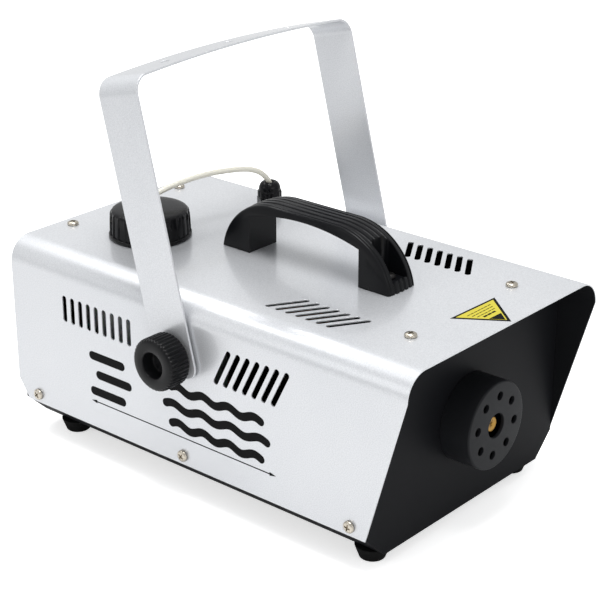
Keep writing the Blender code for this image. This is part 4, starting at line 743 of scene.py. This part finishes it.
strap = prism(ribbon(yoke_path(), YOKE_SHEET), "Y", -YOKE_STRAP / 2, YOKE_STRAP / 2)
tails = [edge for edge in strap.edges
         if max(vert.co.z for vert in edge.verts) < -YOKE_TAIL + 1e-5
         and abs(edge.verts[0].co.y - edge.verts[1].co.y) < 1e-6]
bmesh.ops.bevel(strap, geom=tails, offset=YOKE_TAIL_CORNER, offset_type="OFFSET", segments=10, profile=0.5,
                affect="EDGES", clamp_overlap=False, material=-1)
strap_holes = [cylinder(BOLT_HOLE, (sign * arm_middle, 0, 0), "X", -REACH, REACH) for sign in (-1, 1)]
strap_holes += [cylinder(YOKE_HOLE_RADIUS, (number * YOKE_HOLE_PITCH, 0, YOKE_REACH), "Z", -REACH, REACH)
                for number in (-1, 0, 1)]
strap = carved(strap, together(strap_holes))
lean = Matrix.Translation(pivot) @ Matrix.Rotation(math.radians(-YOKE_LEAN), 4, "X")
bmesh.ops.transform(strap, matrix=lean, verts=strap.verts)
settle(strap, "yoke_strap", silver_enamel, "yoke", body="yoke", ease=0.0003, angle=30)

# -------------------- knobs and pivots
# Moulded black knobs with a straight knurl, each on a steel bolt through a washer, the
# strap and a fibre washer into a nut inside the cover.
KNOB_RIBS, KNOB_KNURL = 40, 0.0009
KNOB_RECESS_RADIUS, KNOB_RECESS_DEPTH = 0.0088, 0.009
knob_plastic = moulded("knob_plastic", (0.0055, 0.0057, 0.0065), (0.0035, 0.0037, 0.0042), 0.28, 0.12, 60, 1600, 0.08,
                       mirror=0.14)
shine(knob_plastic, 0.08, 0.14)


def fluted(stations, ribs, samples, rib_shape):
    """A form turned about the Z axis through (radius, height, groove depth) stations, with ribs round it."""
    form = bmesh.new()
    count = ribs * samples
    ring = bmesh.ops.create_circle(form, cap_ends=False, radius=1, segments=count)["verts"]
    edges = list(form.edges)
    for number, (radius, height, depth) in enumerate(stations):
        if number:
            ring, edges = grown_loop(form, edges)
        for vert in ring:
            angle = math.atan2(vert.co.y, vert.co.x)
            reach = max(radius - depth * rib_shape(angle * ribs / (2 * math.pi) % 1.0), 1e-6)
            vert.co = (reach * math.cos(angle), reach * math.sin(angle), height)
    bmesh.ops.remove_doubles(form, verts=form.verts, dist=4e-6)
    bmesh.ops.recalc_face_normals(form, faces=form.faces)
    return form


def knurl(share):
    """Depth of the knurl's groove across one rib, from 0 on its crest to 1 in its groove."""
    return min(1.0, max(0.0, 1.6 * (0.5 + 0.5 * math.cos(2 * math.pi * share)) - 0.25))


for side, sign in (("left", -1), ("right", 1)):
    low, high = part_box("knob_" + side)
    spot = middle("knob_" + side)
    depth = high.x - low.x
    radius = (high.z - low.z) / 2
    stations = [(0, 0.006, 0), (0.0043, 0.006, 0), (0.0043, 0, 0), (radius - 0.0019, 0, 0),
                (radius - 0.0010, 0.0003, 0), (radius - 0.0003, 0.0010, 0.3 * KNOB_KNURL),
                (radius, 0.0018, KNOB_KNURL), (radius, depth * 0.5, KNOB_KNURL),
                (radius, depth - 0.0026, KNOB_KNURL), (radius - 0.0004, depth - 0.0014, 0.5 * KNOB_KNURL),
                (radius - 0.0014, depth - 0.0005, 0), (radius - 0.0024, depth, 0),
                (KNOB_RECESS_RADIUS + 0.0008, depth, 0), (KNOB_RECESS_RADIUS + 0.0002, depth - 0.0003, 0),
                (KNOB_RECESS_RADIUS, depth - 0.0009, 0),
                (KNOB_RECESS_RADIUS - 0.0006, depth - KNOB_RECESS_DEPTH + 0.0008, 0),
                (KNOB_RECESS_RADIUS - 0.0014, depth - KNOB_RECESS_DEPTH, 0), (0, depth - KNOB_RECESS_DEPTH, 0)]
    knob_form = fluted(stations, KNOB_RIBS, 8, knurl)
    seat = (Matrix.Translation((low.x if sign > 0 else high.x, spot.y, spot.z))
            @ Matrix.Rotation(sign * math.pi / 2, 4, "Y"))
    bmesh.ops.transform(knob_form, matrix=seat, verts=knob_form.verts)
    settle(knob_form, f"knob_{side}_moulding", knob_plastic, "knob_" + side, body="knob_" + side,
           angle=45)
    refinish(nickel, "knob_bolt_" + side, "flat_washer_" + side, "pivot_nut_" + side)
    refinish(foot_rubber, "friction_washer_" + side)

# -------------------- tank and its cap
# A milky blow-moulded tank whose neck comes up through the cover, and a glossy black
# screw cap with raised grip ribs over a plain ring.
CAP_RIBS = 26
CAP_RIB_HEIGHT = 0.0009
gloss_black = moulded("gloss_black", (0.0050, 0.0052, 0.0060), (0.0032, 0.0033, 0.0040), 0.20, 0.10, 50, 900, 0.06,
                      mirror=0.12)
shine(gloss_black, 0.12, 0.08)
milky_plastic = moulded("milky_plastic", (0.78, 0.78, 0.75), (0.68, 0.68, 0.64), 0.42, 0.12, 18, 600, 0.25)
milky_plastic.node_tree.nodes["Principled BSDF"].inputs["Subsurface Weight"].default_value = 0.2
cap_low, cap_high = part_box("tank_cap")
cap_radius, cap_rise = (cap_high.x - cap_low.x) / 2, cap_high.z - cap_low.z
neck_outer = neck_radius + 2 * CLEARANCE


def cap_rib(share):
    """1 between the cap's ribs and 0 on a rib's crest."""
    from_crest = abs(share - 0.5) * 2
    blend = min(1.0, max(0.0, (from_crest - 0.14) / 0.16))
    return blend * blend * (3 - 2 * blend)


wall = cap_radius - 0.0006
cap_stations = [(neck_outer, 0, 0), (cap_radius - 0.0005, 0, 0), (cap_radius, 0.0005, 0), (cap_radius, 0.0019, 0),
                (cap_radius - 0.0004, 0.0024, 0), (wall, 0.0027, CAP_RIB_HEIGHT),
                (wall, 0.0060, CAP_RIB_HEIGHT), (wall - 0.0002, 0.0110, CAP_RIB_HEIGHT),
                (wall - 0.0005, 0.0158, CAP_RIB_HEIGHT), (wall - 0.0009, 0.0172, 0.6 * CAP_RIB_HEIGHT),
                (wall - 0.0016, 0.0183, 0.2 * CAP_RIB_HEIGHT), (wall - 0.0026, 0.0190, 0),
                (wall - 0.0045, 0.0195, 0), (0.018, 0.0198, 0), (0.010, cap_rise - 0.0001, 0),
                (0.0044, cap_rise, 0), (0.0038, cap_rise - 0.0002, 0), (0.0035, cap_rise - 0.0006, 0),
                (0.0035, 0.0168, 0), (neck_outer, 0.0168, 0), (neck_outer, 0, 0)]
cap_form = fluted(cap_stations, CAP_RIBS, 12, cap_rib)
bmesh.ops.translate(cap_form, verts=cap_form.verts, vec=(CAP_AXIS.x, CAP_AXIS.y, cap_low.z))
settle(cap_form, "cap_moulding", gloss_black, "tank_cap", body="tank_cap", angle=50)
settle(node_form("fluid_tank"), "tank_moulding", milky_plastic, "fluid_tank", ease=0.0008, segments=3)
refinish(foot_rubber, "cap_seal")

# -------------------- gland
# A black plastic gland, screwed into the cover and locked by a nut underneath: a six-sided
# body and a ribbed dome nut that grips the tube.
nut_low, nut_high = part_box("gland_nut")
NUT_RIBS, NUT_RIB_DEPTH = 12, 0.0006
GLAND_BORE = 0.0045
settle(node_form("gland_body"), "gland_body_moulding", gloss_black, "gland_body", ease=0.0005,
       segments=3)
nut_radius, nut_rise = (nut_high.x - nut_low.x) / 2, nut_high.z - nut_low.z


def nut_flute(share):
    """Depth of the dome nut's shallow flutes across one rib."""
    return (0.5 - 0.5 * math.cos(2 * math.pi * share)) ** 2


dome = []
for step in range(13):
    angle = math.radians(step * 90 / 12)
    dome.append((0.0040 + 0.0039 * math.cos(angle), 0.0056 + (nut_rise - 0.0056) * math.sin(angle) - 0.0001, 0))
nut_stations = ([(GLAND_BORE, 0, 0), (nut_radius - 0.0004, 0, 0), (nut_radius, 0.0004, 0.3 * NUT_RIB_DEPTH),
                 (nut_radius, 0.0012, NUT_RIB_DEPTH), (nut_radius, 0.0042, NUT_RIB_DEPTH),
                 (nut_radius - 0.0003, 0.0048, 0.4 * NUT_RIB_DEPTH), (nut_radius - 0.0008, 0.0052, 0)]
                + dome + [(0.0034, nut_rise - 0.0004, 0), (0.0028, nut_rise - 0.0022, 0),
                          (GLAND_BORE, nut_rise - 0.0050, 0), (GLAND_BORE, 0, 0)])
nut_form = fluted(nut_stations, NUT_RIBS, 8, nut_flute)
bmesh.ops.translate(nut_form, verts=nut_form.verts, vec=(GLAND_AXIS.x, GLAND_AXIS.y, nut_low.z))
settle(nut_form, "gland_nut_moulding", gloss_black, "gland_nut", angle=50)
refinish(gloss_black, "gland_locknut")

# -------------------- nozzle and shroud
# A spun steel cup, sprayed satin black, with eight air holes round a larger one, and the
# turned brass nozzle inside it.
SHROUD_WALL, SHROUD_HOLE_RADIUS, SHROUD_VENT_RADIUS, SHROUD_VENT_CIRCLE = 0.0022, 0.0082, 0.003, 0.0197
SHROUD_VENTS, SHROUD_VENT_TURN = 8, -8.2
shroud_low, shroud_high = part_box("nozzle_shroud")
nozzle_axis = Vector((0, 0, (shroud_low.z + shroud_high.z) / 2))
shroud_radius = (shroud_high.x - shroud_low.x) / 2
face_y = shroud_low.y
satin_black = moulded("satin_black", (0.0140, 0.0148, 0.0165), (0.0100, 0.0106, 0.0122), 0.40, 0.10, 24, 1400, 0.10,
                      mirror=0.09)
shine(satin_black, 0.03, 0.25)
turned_brass = moulded("turned_brass", (0.42, 0.25, 0.060), (0.30, 0.165, 0.036), 0.24, 0.16, 160, 1800, 0.12,
                       metallic=1.0)
inner_radius = shroud_radius - SHROUD_WALL
cup = ([(SHROUD_HOLE_RADIUS, face_y + 0.0003), (SHROUD_HOLE_RADIUS + 0.0003, face_y)]
       + arc((shroud_radius - 0.0012, face_y + 0.0012), 0.0012, -90, 0, 6)
       + [(shroud_radius, shroud_high.y), (inner_radius, shroud_high.y), (inner_radius, face_y + SHROUD_WALL + 0.002)]
       + [(inner_radius - 0.002, face_y + SHROUD_WALL), (SHROUD_HOLE_RADIUS, face_y + SHROUD_WALL)])
vents = []
for number in range(SHROUD_VENTS):
    angle = math.radians(SHROUD_VENT_TURN + number * 360 / SHROUD_VENTS)
    spot = (SHROUD_VENT_CIRCLE * math.cos(angle), face_y, nozzle_axis.z + SHROUD_VENT_CIRCLE * math.sin(angle))
    vents.append(cylinder(SHROUD_VENT_RADIUS, spot, "Y", -0.002, SHROUD_WALL + 0.002, 32))
settle(carved(turned(cup, nozzle_axis, "Y", 96), together(vents)), "shroud_cup", satin_black,
       "nozzle_shroud", ease=0.0002)
tip_y, collar_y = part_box("nozzle")[0].y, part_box("nozzle")[1].y
NOZZLE_RADIUS, NOZZLE_COLLAR, ORIFICE = 0.0054, 0.008, 0.0007
nozzle_profile = ([(0, tip_y + 0.006), (ORIFICE, tip_y + 0.006), (ORIFICE, tip_y + 0.0010),
                   (ORIFICE + 0.0007, tip_y + 0.0004), (0.0028, tip_y + 0.0002), (0.0036, tip_y)]
                  + arc((NOZZLE_RADIUS - 0.0012, tip_y + 0.0012), 0.0012, -90, 0, 5)
                  + [(NOZZLE_RADIUS, collar_y - 0.006), (NOZZLE_COLLAR - 0.0004, collar_y - 0.006),
                     (NOZZLE_COLLAR, collar_y - 0.0056), (NOZZLE_COLLAR, collar_y), (0, collar_y)])
settle(turned(nozzle_profile, nozzle_axis, "Y", 64), "nozzle_brass", turned_brass, "nozzle", angle=30)

# -------------------- works inside the case
# Heater, blanket, brackets, pump, pipes and board, seen only through the slots: each keeps
# its own shape, with its edges eased and its own finish.
raw_casting = moulded("raw_casting", (0.62, 0.63, 0.64), (0.48, 0.49, 0.50), 0.42, 0.2, 70, 900, 0.5, metallic=1.0)
ceramic_felt = moulded("ceramic_felt", (0.78, 0.76, 0.68), (0.62, 0.60, 0.52), 0.85, 0.1, 40, 420, 0.9, depth=0.0006)
solder_mask = moulded("solder_mask", (0.030, 0.20, 0.075), (0.018, 0.13, 0.045), 0.30, 0.15, 90, 700, 0.1)
varnished_winding = moulded("varnished_winding", (0.46, 0.14, 0.055), (0.30, 0.08, 0.03), 0.32, 0.2, 120, 900, 0.4)
INNER_PIECES = (
    ("heater_block", raw_casting, "cast_aluminium"), ("heater_insulation", ceramic_felt, "insulation"),
    ("heater_bracket_front", nickel, "screw_steel"), ("heater_bracket_rear", nickel, "screw_steel"),
    ("thermostat", grip_plastic, "black_plastic"), ("pump_body", grip_plastic, "black_plastic"),
    ("pump_coil", varnished_winding, "copper_coil"), ("pump_bracket", nickel, "screw_steel"),
    ("circuit_board", solder_mask, "board_green"), ("suction_filter", raw_casting, "cast_aluminium"),
)
for inner_node, finish, slot in INNER_PIECES:
    settle(node_form(inner_node), inner_node + "_finished", finish, inner_node, ease=0.0004)
refinish(turned_brass, "pump_outlet_pipe")
refinish(nickel, "pump_piston")

# -------------------- rear fittings
# Mains inlet with its fuse drawer, rocker switch and remote socket, all clipped or
# screwed into the rear panel.
for rear_node, finish, slot, rider in (
        ("mains_inlet", grip_plastic, "black_plastic", "case"),
        ("fuse_drawer", grip_plastic, "black_plastic", "fuse_drawer"),
        ("switch_body", grip_plastic, "black_plastic", "case"),
        ("switch_rocker", gloss_black, "gloss_black", "switch_rocker"),
        ("remote_socket", knob_plastic, "black_plastic", "case")):
    settle(node_form(rear_node), rear_node + "_moulding", finish, rear_node, body=rider, ease=0.0003)

# -------------------- printing and label
# Screen-printed marks on the left side, as plain shapes: three short strokes, three waves
# and a long arrow. On the top, near the visor, a three-cornered foil label.
PRINT_THICKNESS = 0.00006
print_ink = moulded("print_ink", (0.0030, 0.0030, 0.0035), (0.0020, 0.0020, 0.0024), 0.55, 0.12, 80, 1200, 0.1,
                    mirror=0.08)
label_yellow = moulded("label_yellow", (0.52, 0.45, 0.02), (0.47, 0.40, 0.01), 0.30, 0.1, 50, 900, 0.05)
side_x = -HALF - 0.00001


def printed(outline):
    """A flat shape printed on the left side, from its (y, z) outline."""
    return prism(outline, "X", side_x - PRINT_THICKNESS, side_x)


def band(start, end, height, thickness, swing, waves, steps=60):
    """Outline of a round-ended wavy stroke along Y."""
    shares = [step / steps for step in range(steps + 1)]
    line = [Vector((start + (end - start) * t, height + swing * math.sin(2 * math.pi * waves * t))) for t in shares]
    upper, lower = [], []
    for number, point in enumerate(line):
        along = (line[min(number + 1, steps)] - line[max(number - 1, 0)]).normalized()
        normal = Vector((-along.y, along.x)) * thickness / 2
        upper.append(tuple(point + normal))
        lower.append(tuple(point - normal))
    caps = []
    for spot, first in ((line[-1], Vector(upper[-1]) - line[-1]), (line[0], Vector(lower[0]) - line[0])):
        caps.append([tuple(spot + Matrix.Rotation(-math.radians(20 * turn), 2) @ first) for turn in range(1, 9)])
    return upper + caps[0] + lower[::-1] + caps[1]


PRINT_ROWS = (0.0531, 0.0661, 0.0791)    # heights of the rows' middles
STROKE_ENDS = ((0.0930, 0.0650), (0.0870, 0.0590), (0.0930, 0.0650))
WAVE_ENDS = ((0.0190, -0.0590), (0.0240, -0.0640), (0.0190, -0.0590))
STROKE_THICK, WAVE_THICK, WAVE_SWING, WAVE_COUNT = 0.0062, 0.0058, 0.0016, 3.5
ARROW_Z, ARROW_HEAD_HALF, ARROW_SHAFT_HALF = 0.0454, 0.0013, 0.0004
ARROW_REAR, ARROW_REAR_NECK, ARROW_FRONT_NECK, ARROW_FRONT = 0.0957, 0.0905, -0.0660, -0.0714
marks = [printed(band(*ends, row, STROKE_THICK, 0.0, 0)) for row, ends in zip(PRINT_ROWS, STROKE_ENDS)]
marks += [printed(band(*ends, row, WAVE_THICK, WAVE_SWING, WAVE_COUNT)) for row, ends in zip(PRINT_ROWS, WAVE_ENDS)]
arrow_top = [(ARROW_REAR, 0), (ARROW_REAR_NECK, ARROW_HEAD_HALF), (ARROW_REAR_NECK, ARROW_SHAFT_HALF),
             (ARROW_FRONT_NECK, ARROW_SHAFT_HALF), (ARROW_FRONT_NECK, ARROW_HEAD_HALF), (ARROW_FRONT, 0)]
marks.append(printed([(y, ARROW_Z + z) for y, z in arrow_top] + [(y, ARROW_Z - z) for y, z in arrow_top[-2:0:-1]]))
settle(together(marks), "side_printing", print_ink)

LABEL_CORNERS = (Vector((-0.0157, -0.1388)), Vector((0.0294, -0.1401)), Vector((0.0049, -0.1697)))
label_centre = sum(LABEL_CORNERS, Vector((0, 0))) / 3
LABEL_LEVELS = (0.00001, 0.00006, 0.00010)


def label_triangle(share, centre=label_centre, low=LABEL_LEVELS[0], high=LABEL_LEVELS[1]):
    """The label's own triangle, shrunk about a point, as a thin plate on the cover."""
    outline = [tuple(centre + (point - label_centre) * share) for point in LABEL_CORNERS]
    return prism(outline, "Z", TOP + low, TOP + high)


settle(label_triangle(1.0), "label_border", print_ink)
settle(label_triangle(0.84, low=LABEL_LEVELS[1], high=LABEL_LEVELS[2]), "label_face", label_yellow)
ink_low, ink_high = LABEL_LEVELS[2], LABEL_LEVELS[2] + PRINT_THICKNESS
label_marks = [label_triangle(0.27, Vector((0.0052, -0.1600)), ink_low, ink_high)]
# Each row of broken line: its length, its thickness and its pieces.
LABEL_ROWS = ((0.0130, 0.0016, 3), (0.0190, 0.0006, 5), (0.0220, 0.0006, 6), (0.0250, 0.0006, 7))
LABEL_ROW_Y, LABEL_ROW_STEP, LABEL_DASH = -0.1531, 0.0028, 0.82
for number, (length, thick, pieces) in enumerate(LABEL_ROWS):
    y = LABEL_ROW_Y + number * LABEL_ROW_STEP
    for dash in range(pieces):
        near = 0.0060 + number * 0.0002 - length / 2 + length * dash / pieces
        far = near + length / pieces * LABEL_DASH
        outline = [(near, y - thick / 2), (far, y - thick / 2), (far, y + thick / 2), (near, y + thick / 2)]
        label_marks.append(prism(outline, "Z", TOP + ink_low, TOP + ink_high))
settle(together(label_marks), "label_marks", print_ink)
